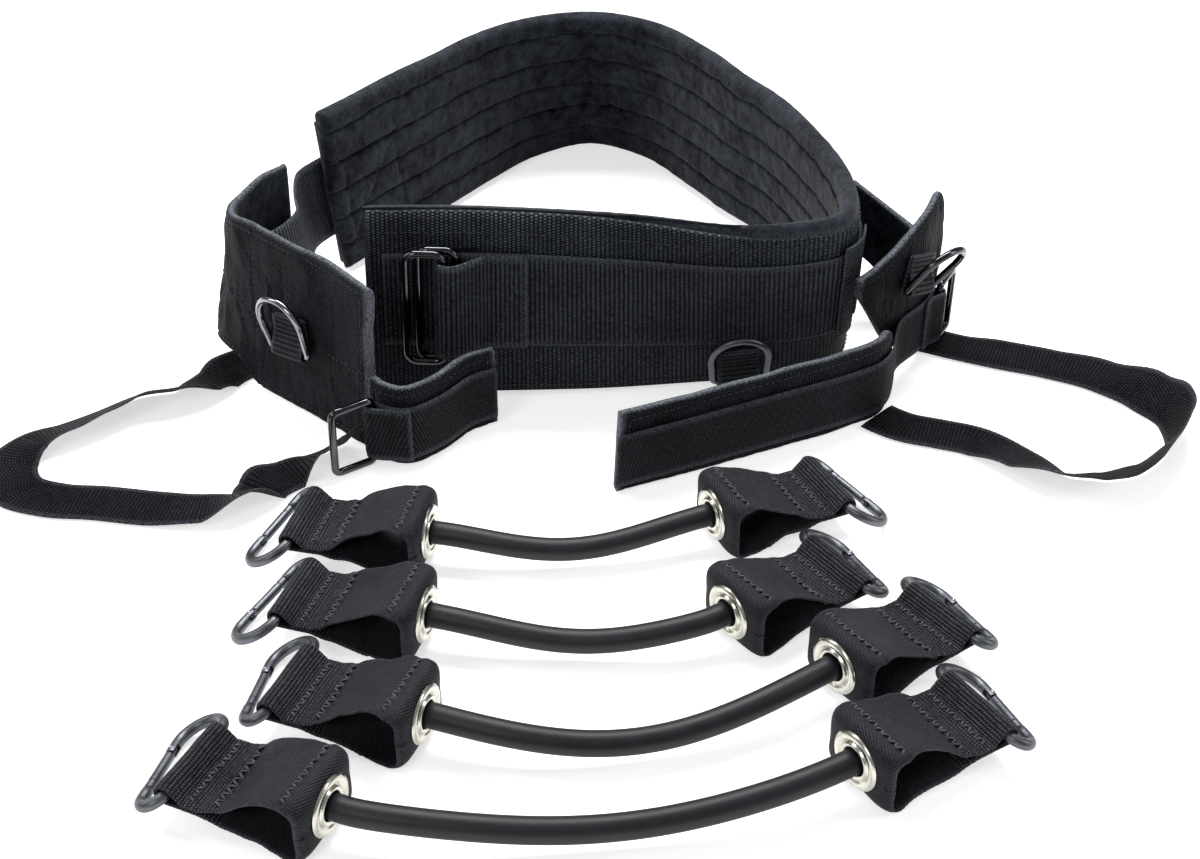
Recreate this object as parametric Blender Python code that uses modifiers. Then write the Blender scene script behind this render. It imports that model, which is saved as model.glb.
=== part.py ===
"""Jump training kit: a padded waist belt, two foot harnesses and four resistance bands.

Metres, +Z up. The kit lies on the floor z = 0 as it would be laid out for packing. Control
points of the cloth paths are in millimetres on a layout grid, which mm() turns into metres.
"""
import math
from bisect import bisect_right

import bmesh
import bpy
from mathutils import Matrix, Vector

SPAN = 10                 # steps of a smooth line between two control points
CLEAR = 0.0003            # gap between pieces that touch or turn in each other
KIT_CENTRE = (-0.0023, 0.00527)   # layout point that becomes the origin

# Waist belt: a ruled wall of this height, with offsets measured out of its middle
BELT_HEIGHT = 0.100
BELT_BASE = 0.00045       # lifts the leaning pad's edge onto the floor
PAD_FACE = 0.0030
COVER_THICK = 0.0015
COVER_EDGE = (0.0050, 0.0940)
STRAP_WIDTH = 0.050
STRAP_THICK = 0.0016
STRAP_MIDDLE = 0.0545
TAIL_RISE = 0.020

# Rings
RING_WIRE = 0.0018        # radius
BUCKLE_SIZE = (0.0214, 0.0610)
BUCKLE_CORNER = 0.0050
BUCKLE_STACK = 0.00275    # half of the side step between the two rings
BUCKLE_LAP = RING_WIRE + CLEAR    # half of the distance between the rings' planes
BUCKLE_X = -0.0718
BUCKLE_CHANNEL = 0.0060
BUCKLE_REACH = 0.0170
BUCKLE_DOUBLED = -0.0348
LOOP_SIZE = (0.0240, 0.0365)
LOOP_CORNER = 0.0030
D_BAR_HALF = 0.0130
D_RADIUS = 0.0140
D_SHOULDER = 0.0150
D_CORNER = 0.0030
TAB_WIDTH = 0.0215
TAB_THICK = 0.0014
TAB_LENGTH = 0.0170
TAB_REACH = 0.0094         # from the bar to where the fold's layers meet

# Harness
CUFF_FACE = 0.0022
CUFF_BACK = 0.0026
OVERLAY_WIDTH = 0.028
OVERLAY_THICK = 0.0015
OVERLAY_REACH = 0.008      # from the ring's bar to where the fold's layers meet
OVERLAY_TURNED = 0.014     # length of the fold's upper layer
OVERLAY_BARE = 0.003       # how far the webbing stops short of the band's ends
STIRRUP_WIDTH = 0.025
STIRRUP_THICK = 0.0012

# Resistance band ends, in the frame of a sleeve: x outwards from its face, z up
SLEEVE_WIDTH = 0.036
SLEEVE_THICK = 0.0016
SLEEVE_AXIS = 0.014       # height of the grommet's centre
SLEEVE_PIVOT = 0.057
SLEEVE_RISE = 0.0120       # height of the fold's middle
STITCHED = (0.0430, 0.0500)
TUBE_RADIUS = 0.0050
STOPPER_RADIUS = 0.0070
STOPPER = (0.0044, 0.0112)
STOPPER_BEVEL = 0.0010
TUBE_LOW = 0.0090          # height of the tube's axis halfway
TUBE_LEAD = 0.006          # straight length outside each grommet
GROMMET_HOLE = TUBE_RADIUS + 0.0004
GROMMET_BARREL = 0.0064
GROMMET_FLANGE = 0.01175
GROMMET_WASHER = 0.0090

# Snap hooks: a wire drawn round two circles, closed by a sprung gate
HOOK_WIRE = 0.00225
HOOK_WIDE = 0.0100
HOOK_NARROW = 0.0055
HOOK_CENTRES = 0.0330
HOOK_CHANNEL = HOOK_WIRE + 0.0006
GATE_WIRE = 0.0020
GATE_SPAN = (0.14, 0.84)  # pivot and nose along the straight side
GATE_TONGUE = 0.0015
GATE_NECK = 0.0029
FORK_SLOT = GATE_TONGUE + 2 * CLEAR
FORK_END = 0.0019
FORK_LENGTH = 0.0064       # length of the slot between the fork's cheeks
FORK_HEEL = 0.0024         # how far the slot reaches behind the pivot
TONGUE_HEEL = 0.0015       # the same for the gate's tongue
TONGUE_HALF = 0.0014       # half of the tongue's height
PIN_RADIUS = 0.0008

# Belt path: bottom line of the wall and the lean of its top edge, millimetres
BELT_PATH = [(-112, 11), (-54, 11.5), (10, 15.5), (64, 24), (97, 28), (114, 38), (121, 57),
             (119, 95), (108, 142), (92, 180), (75, 205), (52, 245), (28, 281), (-6, 301),
             (-41, 281), (-65, 250), (-87, 217), (-115, 175), (-140, 136)]
BELT_LEAN = [(3, 0), (3, -1), (-1, -11), (-5, -25), (-6, -26), (-2, -27), (-3, -26), (-3, -26),
             (-4, -26), (-2, -27), (2, -27), (7, -28), (5, -29), (0, -30), (-4, -24), (-7, -19),
             (-7, -18), (-6, -17), (-5, -16)]
BELT_BACK = 13            # the path's point at the middle of the back
PAD_BACK = [(100, 1.5), (100, -1.5), (97, -3.2), (90, -5), (80, -3.4), (70, -5), (60, -3.4),
            (50, -5), (40, -3.4), (30, -5), (20, -3.4), (10, -5), (3, -3.2), (0, -1.5), (0, 1.5)]
TAIL_PATH = [(-152.5, 120, 21), (-151.5, 100, 20), (-147.5, 82, 19), (-153, 64, 19), (-163, 51, 19)]
TAIL_LEAN = (-4, -9, 49)

# Bands: grommet position, outward angle, which way the hook's wide end points, slide of the
# hook along its fold; then how far each end of the tube holds its direction
BANDS = [
    ((-72.3, -120.5, 167.7, 1, -0.4), (48.3, -107.8, 24.5, -1, 0.2), (0.020, 0.060)),
    ((-69.2, -174.3, 163.5, 1, 0.4), (51.3, -172.9, 34.5, 1, 0.4), (0.045, 0.020)),
    ((-64.8, -231.3, 159.8, -1, -0.4), (89.9, -204.9, 35.3, 1, -0.4), (0.032, 0.080)),
    ((-94.2, -277.0, 156.8, -1, 0.4), (91.8, -255.3, 30.9, 1, -0.4), (0.020, 0.066)),
]

# Harnesses: bottom and top lines of cuff and foot band, then the stirrup's centre line with
# its roll in degrees
LEFT = {
    "cuff": ([(-157, 77, 40), (-176, 66, 16), (-188, 55, 1), (-191, 47, 9), (-187, 37, 12),
              (-178, 26, 11), (-169, 17.5, 1.9), (-150, 1, 0.6), (-126.5, -19, 0.2),
              (-107, -38, 0.2)],
             [(-156, 78, 91), (-166, 66, 90), (-174, 54, 86), (-177, 46, 85), (-176, 38, 85),
              (-171, 28, 87), (-164, 21, 88), (-146, 4, 88), (-123, -17, 88), (-101, -44, 88)]),
    "band": ([(-106.3, -38.7, 0.2), (-98, -47, 0.2), (-88, -50, 0.2), (-75, -40, 0.2),
              (-62, -23, 0.2), (-50, -15, 0.2)],
             [(-103.4, -41.6, 42), (-97.5, -47.5, 42), (-88, -51, 42), (-75, -41, 42),
              (-62, -24, 42), (-50, -16, 42)]),
    "stirrup": [(-166, 44, 0), (-176, 36, -6), (-185, 27, -8), (-194, 13, 10), (-204, 2, 34),
                (-220, -3, 34), (-236, -17, 30), (-251, -29, 24), (-265, -38, 12),
                (-271, -54, 0), (-263, -72, 0), (-244, -80, 0), (-224, -82, 0),
                (-200, -86, 0), (-177, -88, -6), (-159, -84, -34), (-150, -69, 10),
                (-141, -60, 0), (-130, -54, -34), (-121, -47, -45), (-114.5, -40.5, -50)],
    "d_ring": (0.118, 0.034, 8, 12),
    "overlay": (0.0045, None),
    "loop": 216,
}
RIGHT = {
    "cuff": ([(121, 5, 57), (131, 12.5, 38), (140, 22, 21), (158, 43, 6), (165, 56, 2.2),
              (168, 65, 1.9), (164, 76, 4.6), (148, 88, 22), (129, 95, 38)],
             [(121, 4, 66), (131, 13, 69), (140, 22, 73), (157, 42, 83), (164, 55, 87),
              (168, 64, 66), (165, 74, 54), (150, 87, 60), (129, 94, 74)]),
    "band": ([(7, -72, 0.2), (40, -57, 0.2), (80, -38, 0.2), (118, -19, 0.2), (131, -10, 0.2),
              (136.5, -1, 0.2), (139, 8, 0.2), (140.5, 15, 0.2)],
             [(9, -73, 43), (41, -58, 43), (80, -39, 43), (118, -20, 43), (131, -10.5, 43),
              (136, -1, 42), (138.5, 8, 28), (140, 15, 15)]),
    "stirrup": [(161.5, 62, 0), (170, 58, 0), (182, 52, 0), (202, 43, 5), (225, 34, 5), (248, 21, 10),
                (265, 1, 30), (272, -22, 60), (266, -45, 72), (251, -63, 66), (234, -72, 50),
                (221, -72, 40), (208, -69, 34), (194, -52, 12), (177, -34, 0), (160, -27, 0),
                (146, -22, 0), (137.1, -15.9, 0), (132.8, -11.8, 0)],
    "d_ring": (0.044, 0.036, -16, 32),
    "overlay": (0.0045, [(146.2, 23.3, 5), (151.9, 30.1, 6), (157.8, 36.9, 6),
                         (163.0, 44.6, 6), (168.6, 55.9, 6)]),
    "loop": 62,
}

for item in list(bpy.data.objects):
    bpy.data.objects.remove(item, do_unlink=True)

kit = bpy.data.collections.new("jump_training_belt")
cutters = bpy.data.collections.new("cutters")
bpy.context.scene.collection.children.link(kit)
bpy.context.scene.collection.children.link(cutters)

origin = bpy.data.objects.new("kit_origin", None)
origin.location = (-KIT_CENTRE[0], -KIT_CENTRE[1], 0.0)
kit.objects.link(origin)


def material(name, colour, roughness, metallic=0.0):
    """A Principled material."""
    made = bpy.data.materials.new(name)
    made.use_nodes = True
    shader = made.node_tree.nodes["Principled BSDF"]
    shader.inputs["Base Color"].default_value = (*colour, 1.0)
    shader.inputs["Roughness"].default_value = roughness
    shader.inputs["Metallic"].default_value = metallic
    made.diffuse_color = (*colour, 1.0)
    return made


FELT = material("felt_lining", (0.020, 0.022, 0.027), 0.95)
WEBBING = material("nylon_webbing", (0.014, 0.014, 0.017), 0.70)
BLACK_STEEL = material("black_steel", (0.025, 0.025, 0.028), 0.25, 1.0)
GUNMETAL = material("gunmetal_steel", (0.10, 0.10, 0.11), 0.32, 1.0)
NICKEL = material("nickel", (0.66, 0.65, 0.60), 0.25, 1.0)
RUBBER = material("band_rubber", (0.018, 0.018, 0.020), 0.42)


def mm(x, y, z=0.0):
    """A layout point in metres."""
    return Vector((x, y, z)) * 0.001


def spread(start, end, count):
    """Evenly spaced numbers from start to end, both included."""
    return [start + (end - start) * i / (count - 1) for i in range(count)]


def arc(centre, radius, start, end, count):
    """Points of a flat arc, angles in degrees."""
    return [Vector((centre[0] + radius * math.cos(math.radians(a)),
                    centre[1] + radius * math.sin(math.radians(a))))
            for a in spread(start, end, count)]


def spline(points, per_span):
    """A centripetal Catmull-Rom curve through the points."""
    ends = [points[0] * 2 - points[1]] + list(points) + [points[-1] * 2 - points[-2]]
    curve = []
    for i in range(len(points) - 1):
        four = ends[i:i + 4]
        knots = [0.0]
        for a, b in zip(four, four[1:]):
            knots.append(knots[-1] + max((b - a).length, 1e-6) ** 0.5)

        def mix(a, b, low, high, t):
            return a + (b - a) * ((t - low) / (high - low))

        for t in spread(knots[1], knots[2], per_span + 1)[:-1]:
            a = mix(four[0], four[1], knots[0], knots[1], t)
            b = mix(four[1], four[2], knots[1], knots[2], t)
            c = mix(four[2], four[3], knots[2], knots[3], t)
            d = mix(a, b, knots[0], knots[2], t)
            e = mix(b, c, knots[1], knots[3], t)
            curve.append(mix(d, e, knots[1], knots[2], t))
    return curve + [points[-1].copy()]


def lengths(points):
    """Running length at each point of a line."""
    run = [0.0]
    for a, b in zip(points, points[1:]):
        run.append(run[-1] + (b - a).length)
    return run


def resample(points, count):
    """Evenly spaced points along a line."""
    run = lengths(points)
    result = []
    for s in spread(0.0, run[-1], count):
        i = min(bisect_right(run, s) - 1, len(points) - 2)
        result.append(points[i].lerp(points[i + 1], (s - run[i]) / (run[i + 1] - run[i])))
    return result


class Wall:
    """A ruled sheet between a bottom and a top line."""

    def __init__(self, bottom, top, per_span=SPAN):
        self.bottom = spline(bottom, per_span)
        self.top = spline(top, per_span)
        self.middle = [(a + b) / 2 for a, b in zip(self.bottom, self.top)]
        self.run = lengths(self.middle)
        self.length = self.run[-1]

    def rule(self, s):
        """Bottom and top points at the run s."""
        i = min(max(bisect_right(self.run, s) - 1, 0), len(self.run) - 2)
        t = (s - self.run[i]) / (self.run[i + 1] - self.run[i])
        low = self.bottom[i] + (self.bottom[i + 1] - self.bottom[i]) * t
        high = self.top[i] + (self.top[i + 1] - self.top[i]) * t
        return low, high

    def height(self, s):
        low, high = self.rule(s)
        return (high - low).length

    def frame(self, s, h=None):
        """Bottom point and the directions along, up and out, for the level h."""
        low, high = self.rule(s)
        up = (high - low).normalized()
        level = (high - low).length / 2 if h is None else h
        step = 0.0015
        ends = [self.rule(s - step), self.rule(s + step)]
        before, after = [a + (b - a).normalized() * level for a, b in ends]
        along = after - before
        out = along.cross(up).normalized()
        return low, up.cross(out), up, out

    def at(self, s, h, out):
        low, _, up, normal = self.frame(s)
        return low + up * h + normal * out

    def find_x(self, x):
        """Run at which the middle line first reaches the given x, from the left."""
        for i, point in enumerate(self.middle):
            if point.x >= x:
                return self.run[i]
        return self.length

    def stations(self, turn, step):
        """Runs close enough that the wall turns or goes on by little between them."""
        chosen = [0.0]
        last = self.frame(0.0)[3]
        for s in self.run[1:-1]:
            out = self.frame(s)[3]
            if out.angle(last) > math.radians(turn) or s - chosen[-1] > step:
                chosen.append(s)
                last = out
        return chosen + [self.length]


def place(made, slot, smooth=False):
    """Links a finished object below the kit's origin."""
    kit.objects.link(made)
    made.parent = origin
    made.data.materials.clear()
    made.data.materials.append(slot)
    if smooth:
        for face in made.data.polygons:
            face.use_smooth = True
    return made


def skin(name, rings, slot, closed=False, smooth=False):
    """Joins rings of equal count into one closed body.

    Each patch is split from its lower point on one ring to its higher one on the next, so that
    the faces of layers that lie on each other stay parallel.
    """
    count = len(rings[0])
    points = [p for ring in rings for p in ring]
    faces = []
    for i in range(len(rings) if closed else len(rings) - 1):
        a = i * count
        b = ((i + 1) % len(rings)) * count
        for k in range(count):
            n = (k + 1) % count
            if points[a + k][2] <= points[a + n][2]:
                faces += [(a + k, a + n, b + n), (a + k, b + n, b + k)]
            else:
                faces += [(a + k, a + n, b + k), (a + n, b + n, b + k)]
    if not closed:
        faces.append(tuple(range(count)))
        faces.append(tuple(range(len(points) - 1, len(points) - 1 - count, -1)))
    mesh = bpy.data.meshes.new(name)
    mesh.from_pydata(points, [], faces)
    work = bmesh.new()
    work.from_mesh(mesh)
    many = [f for f in work.faces if len(f.verts) > 4]
    bmesh.ops.triangulate(work, faces=many, ngon_method="EAR_CLIP")
    bmesh.ops.recalc_face_normals(work, faces=work.faces)
    work.to_mesh(mesh)
    work.free()
    return place(bpy.data.objects.new(name, mesh), slot, smooth)


def sheet(name, wall, runs, section, slot):
    """A sheet on a wall; section(s) gives its outline as (level, offset) pairs."""
    rings = [[wall.at(s, h, out) for h, out in section(s)] for s in runs]
    return skin(name, rings, slot)


def strip(name, where, path, thick, edges, slot, closed=False):
    """Webbing whose side view is a drawn line; where(flat point, edge) gives its place.

    The edges run across it, from one selvedge to the other.
    """
    rings = []
    for i, point in enumerate(path):
        before = point - path[i - 1] if i or closed else path[1] - point
        after = path[(i + 1) % len(path)] - point if i < len(path) - 1 or closed else before
        before, after = before.normalized(), after.normalized()
        normal = Vector((-(before + after).y, (before + after).x)).normalized()
        miter = normal.dot(Vector((-before.y, before.x)))
        half = normal * (thick / 2 / max(miter, 0.5))
        rings.append([where(point + half, edge) for edge in edges]
                     + [where(point - half, edge) for edge in reversed(edges)])
    return skin(name, rings, slot, closed)


def roll(centre, level, radius, reach, upper, side, count=11):
    """Side view of webbing that lies at level, turns round a bar and comes back at upper."""
    middle = Vector((centre, level + radius))
    gap = Vector((reach, upper - middle.y))
    stop = math.degrees(math.atan2(gap.y, gap.x) + math.acos(radius / gap.length))
    turned = arc((0.0, 0.0), radius, -90.0, stop - 360.0, count)
    points = [Vector((middle.x + side * p.x, middle.y + p.y)) for p in turned]
    return points + [Vector((centre + side * reach, upper))]


def wire(name, points, radius, slot, closed=False, thick=None):
    """A round bar along a line, as a mesh."""
    curve = bpy.data.curves.new(name + "_line", "CURVE")
    curve.dimensions = "3D"
    curve.bevel_depth = radius
    curve.bevel_resolution = 2
    curve.use_fill_caps = not closed
    path = curve.splines.new("POLY")
    path.points.add(len(points) - 1)
    for i, point in enumerate(points):
        path.points[i].co = (*point, 1.0)
        path.points[i].radius = thick[i] if thick else 1.0
    path.use_cyclic_u = closed
    drawn = bpy.data.objects.new(name + "_line", curve)
    bpy.context.scene.collection.objects.link(drawn)
    bpy.context.view_layer.update()
    mesh = bpy.data.meshes.new_from_object(drawn.evaluated_get(
        bpy.context.evaluated_depsgraph_get()))
    bpy.data.objects.remove(drawn)
    work = bmesh.new()
    work.from_mesh(mesh)
    bmesh.ops.remove_doubles(work, verts=work.verts, dist=1e-6)
    bmesh.ops.recalc_face_normals(work, faces=work.faces)
    work.to_mesh(mesh)
    work.free()
    mesh.name = name
    return place(bpy.data.objects.new(name, mesh), slot, smooth=True)


def cut(target, cutter):
    """Takes a cutter away from a piece."""
    for owner in list(cutter.users_collection):
        owner.objects.unlink(cutter)
    cutters.objects.link(cutter)
    cutter.parent = origin
    cutter.hide_render = True
    cutter.display_type = "WIRE"
    change = target.modifiers.new("cut_" + cutter.name, "BOOLEAN")
    change.operation = "DIFFERENCE"
    change.solver = "EXACT"
    change.object = cutter


def cylinder(name, radius, depth, sides, matrix):
    """A cylinder whose axis is the z of the matrix."""
    bpy.ops.mesh.primitive_cylinder_add(vertices=sides, radius=radius, depth=depth)
    made = bpy.context.active_object
    made.name = name
    made.matrix_basis = matrix
    return made


def box(name, size, matrix):
    """A box of the given size about the matrix's origin."""
    bpy.ops.mesh.primitive_cube_add(size=1.0)
    made = bpy.context.active_object
    made.name = name
    made.data.transform(Matrix.Diagonal((*size, 1.0)))
    made.matrix_basis = matrix
    return made


def rounded(width, height, corner, per_corner=3):
    """Outline of a rounded rectangle whose right side lies on x = 0, centred in y."""
    points = []
    for x, y, start in ((-corner, 1, 0), (corner - width, 1, 90),
                        (corner - width, -1, 180), (-corner, -1, 270)):
        centre = (x, y * (height / 2 - corner))
        points += arc(centre, corner, start, start + 90, per_corner)
    return points


def axes(base, x, y, z):
    """A matrix from an origin and three directions."""
    return Matrix((x, y, z)).transposed().to_4x4() + Matrix(
        ((0, 0, 0, base.x), (0, 0, 0, base.y), (0, 0, 0, base.z), (0, 0, 0, 0)))


def d_ring(name, wall, s, h, face, turn, tilt):
    """A D-ring and the folded tab that holds its bar on a wall."""
    low, along, up, out = wall.frame(s, h)
    spin = Matrix.Rotation(math.radians(turn), 3, out)
    along, up = spin @ along, spin @ up
    turn_radius = RING_WIRE + CLEAR + TAB_THICK / 2
    level = face + 2 * CLEAR + TAB_THICK / 2
    base = wall.frame(s)[0] + wall.frame(s)[2] * h + out * (level + turn_radius)

    outline = [Vector((x, 0.0)) for x in (-D_BAR_HALF / 4, D_BAR_HALF / 4)]
    outline += arc((D_BAR_HALF - D_CORNER, D_CORNER), D_CORNER, -90, 0, 3)
    outline += arc((0.0, D_SHOULDER), D_RADIUS, 0, 180, 9)
    outline += arc((D_CORNER - D_BAR_HALF, D_CORNER), D_CORNER, 180, 270, 3)
    ring = wire(name, [Vector((p.x, p.y, 0.0)) for p in outline], RING_WIRE, BLACK_STEEL, True)
    ring.matrix_basis = axes(base, along, up, out) @ Matrix.Rotation(
        math.radians(tilt), 4, "X")

    lower = -turn_radius
    upper = lower + TAB_THICK + CLEAR
    path = [Vector((TAB_LENGTH, lower)), Vector((TAB_LENGTH / 2, lower))]
    path += roll(0.0, lower, turn_radius, TAB_REACH, upper, 1, 9)
    path += [Vector((TAB_LENGTH, upper))]

    def where(p, edge):
        return base + along * edge + up * p.x + out * p.y

    strip(name + "_tab", where, path, TAB_THICK, (-TAB_WIDTH / 2, TAB_WIDTH / 2), WEBBING)
    return ring


def padded(wall, shape):
    """Section of a lined pad on a wall, (part of the height, offset) pairs."""
    def section(s):
        full = wall.height(s)
        return [(part * full, out) for part, out in shape]
    return section


CUFF_SHAPE = [(0.0, 0.0006), (0.03, CUFF_FACE), (0.97, CUFF_FACE), (1.0, 0.0006),
              (1.0, -0.0010), (0.95, -CUFF_BACK), (0.5, -CUFF_BACK - 0.0004),
              (0.05, -CUFF_BACK), (0.0, -0.0010)]


# Waist belt
def leaning(x, y, dx, dy):
    """Top point of the belt's wall above a bottom point, at its full height."""
    rise = math.sqrt(BELT_HEIGHT ** 2 - mm(dx, dy).length_squared)
    return mm(x + dx, y + dy) + Vector((0, 0, BELT_BASE + rise))


belt = Wall([mm(x, y) + Vector((0, 0, BELT_BASE)) for x, y in BELT_PATH],
            [leaning(*low, *lean) for low, lean in zip(BELT_PATH, BELT_LEAN)])
back_seam = belt.run[BELT_BACK * SPAN]
strap_edges = [STRAP_MIDDLE + STRAP_WIDTH * part for part in (-0.5, 0.0, 0.5)]
cover_rows = [COVER_EDGE[0], *strap_edges, COVER_EDGE[1]]


def pad_section(s):
    """The pad's outline, drawn in at both ends and along the seam at the back."""
    end = min(s, belt.length - s)
    full = 1.0 - 0.45 * max(0.0, 1.0 - end / 0.004) ** 2
    full -= 0.22 * math.exp(-((s - back_seam) / 0.0025) ** 2)
    face = [(h, PAD_FACE * full) for h in cover_rows]
    return face + [(h * 0.001, out * 0.001 * full) for h, out in PAD_BACK]


# The layers of the belt share their stations, so that they follow each other round bends
buckle_run = belt.find_x(BUCKLE_X)
doubled_end = belt.find_x(BUCKLE_DOUBLED)
strap_end = belt.find_x(0.118) + 0.030
shared = sorted(set(belt.stations(9.0, 0.016)[1:-1]
                    + [doubled_end, strap_end, back_seam - 0.004, back_seam + 0.004]))
shared = [s for i, s in enumerate(shared) if i == 0 or s - shared[i - 1] > 0.0012]
shared = [s for s in shared if 0.009 < s < belt.length - 0.009]
sheet("belt_pad", belt, [0.0, 0.0015, 0.004, 0.006, *shared, belt.length - 0.006,
                         belt.length - 0.004, belt.length - 0.0015, belt.length],
      pad_section, FELT)

cover_low = PAD_FACE + CLEAR
cover_face = cover_low + COVER_THICK
sheet("belt_cover", belt, [0.006, *shared, belt.length - 0.006],
      lambda s: [(h, cover_low) for h in cover_rows]
      + [(h, cover_face) for h in reversed(cover_rows)], WEBBING)

strap_level = cover_face + CLEAR + STRAP_THICK / 2
strap_upper = strap_level + STRAP_THICK + CLEAR
buckle_roll = BUCKLE_CHANNEL + STRAP_THICK / 2
strap_path = [Vector((s, strap_level)) for s in reversed(shared)
              if buckle_run + 0.004 < s <= strap_end]
strap_path += roll(buckle_run, strap_level, buckle_roll, BUCKLE_REACH, strap_upper, 1, 12)
strap_path += [Vector((s, strap_upper)) for s in shared
               if buckle_run + BUCKLE_REACH + 0.003 < s < doubled_end - 0.003]
strap_path += [Vector((doubled_end, strap_upper))]
strap_path.reverse()
strip("belt_strap", lambda p, edge: belt.at(p.x, edge, p.y), strap_path, STRAP_THICK,
      strap_edges, WEBBING)

buckle_axis = belt.at(buckle_run, STRAP_MIDDLE, strap_level + buckle_roll)
buckle_turn = belt.frame(buckle_run)[1:]
for label, side in (("front", -1), ("rear", 1)):
    outline = rounded(BUCKLE_SIZE[0] - 2 * RING_WIRE, BUCKLE_SIZE[1] - 2 * RING_WIRE, BUCKLE_CORNER)
    shift = Vector((side * BUCKLE_STACK, 0.0, -side * BUCKLE_LAP))
    made = wire("buckle_ring_" + label, [Vector((p.x, p.y, 0.0)) + shift for p in outline],
                RING_WIRE, BLACK_STEEL, True)
    made.matrix_basis = axes(buckle_axis, *buckle_turn)

sewn = [s for s in shared if s > belt.length - 0.045] + [belt.length - 0.006,
                                                          belt.length + 0.004]
tail = Wall([belt.at(s, TAIL_RISE, strap_level) for s in sewn] + [mm(*p) for p in TAIL_PATH],
            [belt.at(s, TAIL_RISE + STRAP_WIDTH, strap_level) for s in sewn]
            + [mm(*p) + mm(*TAIL_LEAN) for p in TAIL_PATH])
tail_runs = tail.run[:SPAN * len(sewn):SPAN]
tail_runs += spread(tail_runs[-1], tail.length, 14)[1:]
sheet("belt_tail_strap", tail, tail_runs,
      lambda s: [(0.0, -STRAP_THICK / 2), (0.0, STRAP_THICK / 2),
                 (STRAP_WIDTH, STRAP_THICK / 2), (STRAP_WIDTH, -STRAP_THICK / 2)], WEBBING)

d_ring("belt_d_ring", belt, belt.find_x(0.0634), 0.0075, cover_face, 0, 5)
d_ring("belt_d_ring_far", belt, belt.length - 0.150, 0.0075, cover_face, 0, 5)


# Foot harnesses
def harness(side, data):
    """One foot harness of seven pieces."""
    name = "harness_" + side + "_"
    cuff = Wall([mm(*p) for p in data["cuff"][0]], [mm(*p) for p in data["cuff"][1]])
    sheet(name + "cuff", cuff, spread(0.0, cuff.length, 34), padded(cuff, CUFF_SHAPE), FELT)
    s, h, turn, tilt = data["d_ring"]
    d_ring(name + "d_ring", cuff, s, h, CUFF_FACE, turn, tilt)

    band = Wall([mm(*p) for p in data["band"][0]], [mm(*p) for p in data["band"][1]])
    shared = band.stations(8.0, 0.012)
    sheet(name + "foot_band", band, shared, padded(band, CUFF_SHAPE), FELT)

    level = CUFF_FACE + CLEAR + OVERLAY_THICK / 2
    upper = level + OVERLAY_THICK + CLEAR
    radius = RING_WIRE + CLEAR + OVERLAY_THICK / 2
    rise, root = data["overlay"]
    if root is None:
        hinge = OVERLAY_REACH
        path = [Vector((s, level)) for s in reversed(shared)
                if hinge + OVERLAY_REACH / 2 < s < band.length]
        side_sign = 1
        over = band
    else:
        front = [s for s in shared if OVERLAY_BARE < s < band.length - OVERLAY_BARE]
        low = [band.at(s, rise, level) for s in front] + [mm(*p) for p in root]
        high = [band.at(s, rise + OVERLAY_WIDTH, level) for s in front]
        high += [mm(*p) + Vector((0, 0, OVERLAY_WIDTH)) for p in root]
        over = Wall(low, high, 4)
        hinge = over.length - OVERLAY_BARE
        path = [Vector((s, 0.0)) for s in over.run[::2] if s < hinge - OVERLAY_REACH / 2]
        side_sign = -1
        rise = 0.0
        level = 0.0
        upper = level + OVERLAY_THICK + CLEAR
    path += roll(hinge, level, radius, OVERLAY_REACH, upper, side_sign, 9)
    path += [Vector((hinge + side_sign * OVERLAY_TURNED, upper))]
    if root is None:
        path.reverse()
    strip(name + "band_overlay", lambda p, edge: over.at(p.x, edge, p.y), path, OVERLAY_THICK,
          (rise, rise + OVERLAY_WIDTH), WEBBING)

    axis = over.at(hinge, rise + OVERLAY_WIDTH / 2, level + radius)
    outline = rounded(LOOP_SIZE[0] - 2 * RING_WIRE, LOOP_SIZE[1] - 2 * RING_WIRE, LOOP_CORNER)
    ring = wire(name + "loop_ring", [Vector((-p.x, p.y, 0.0)) for p in outline], RING_WIRE,
                BLACK_STEEL, True)
    up = over.frame(hinge)[2]
    outward = Vector((math.cos(math.radians(data["loop"])), math.sin(math.radians(data["loop"])), 0))
    outward = (outward - up * outward.dot(up)).normalized()
    ring.matrix_basis = axes(axis, outward, up, outward.cross(up))

    centre = [mm(x, y) for x, y, _ in data["stirrup"]]
    rolls = [Vector((angle, 0.0)) for _, _, angle in data["stirrup"]]
    line = spline(centre, 6)
    twist = []
    for i in range(len(rolls) - 1):
        twist += [rolls[i].x + (rolls[i + 1].x - rolls[i].x) * t * t * (3 - 2 * t)
                  for t in spread(0.0, 1.0, 7)[:-1]]
    twist.append(rolls[-1].x)
    rings = []
    for i in range(0, len(line), 2):
        along = line[min(i + 1, len(line) - 1)] - line[max(i - 1, 0)]
        across = Vector((-along.y, along.x, 0.0)).normalized()
        angle = math.radians(twist[i])
        wide = across * math.cos(angle) + Vector((0, 0, math.sin(angle)))
        thin = wide.cross(along).normalized() * (STIRRUP_THICK / 2)
        wide *= STIRRUP_WIDTH / 2
        rise_here = abs(wide.z) + abs(thin.z) + 0.0001
        middle = line[i] + Vector((0, 0, rise_here))
        rings.append([middle - wide + thin, middle + wide + thin,
                      middle + wide - thin, middle - wide - thin])
    skin(name + "stirrup", rings, WEBBING)


harness("left", LEFT)
harness("right", RIGHT)


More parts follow.
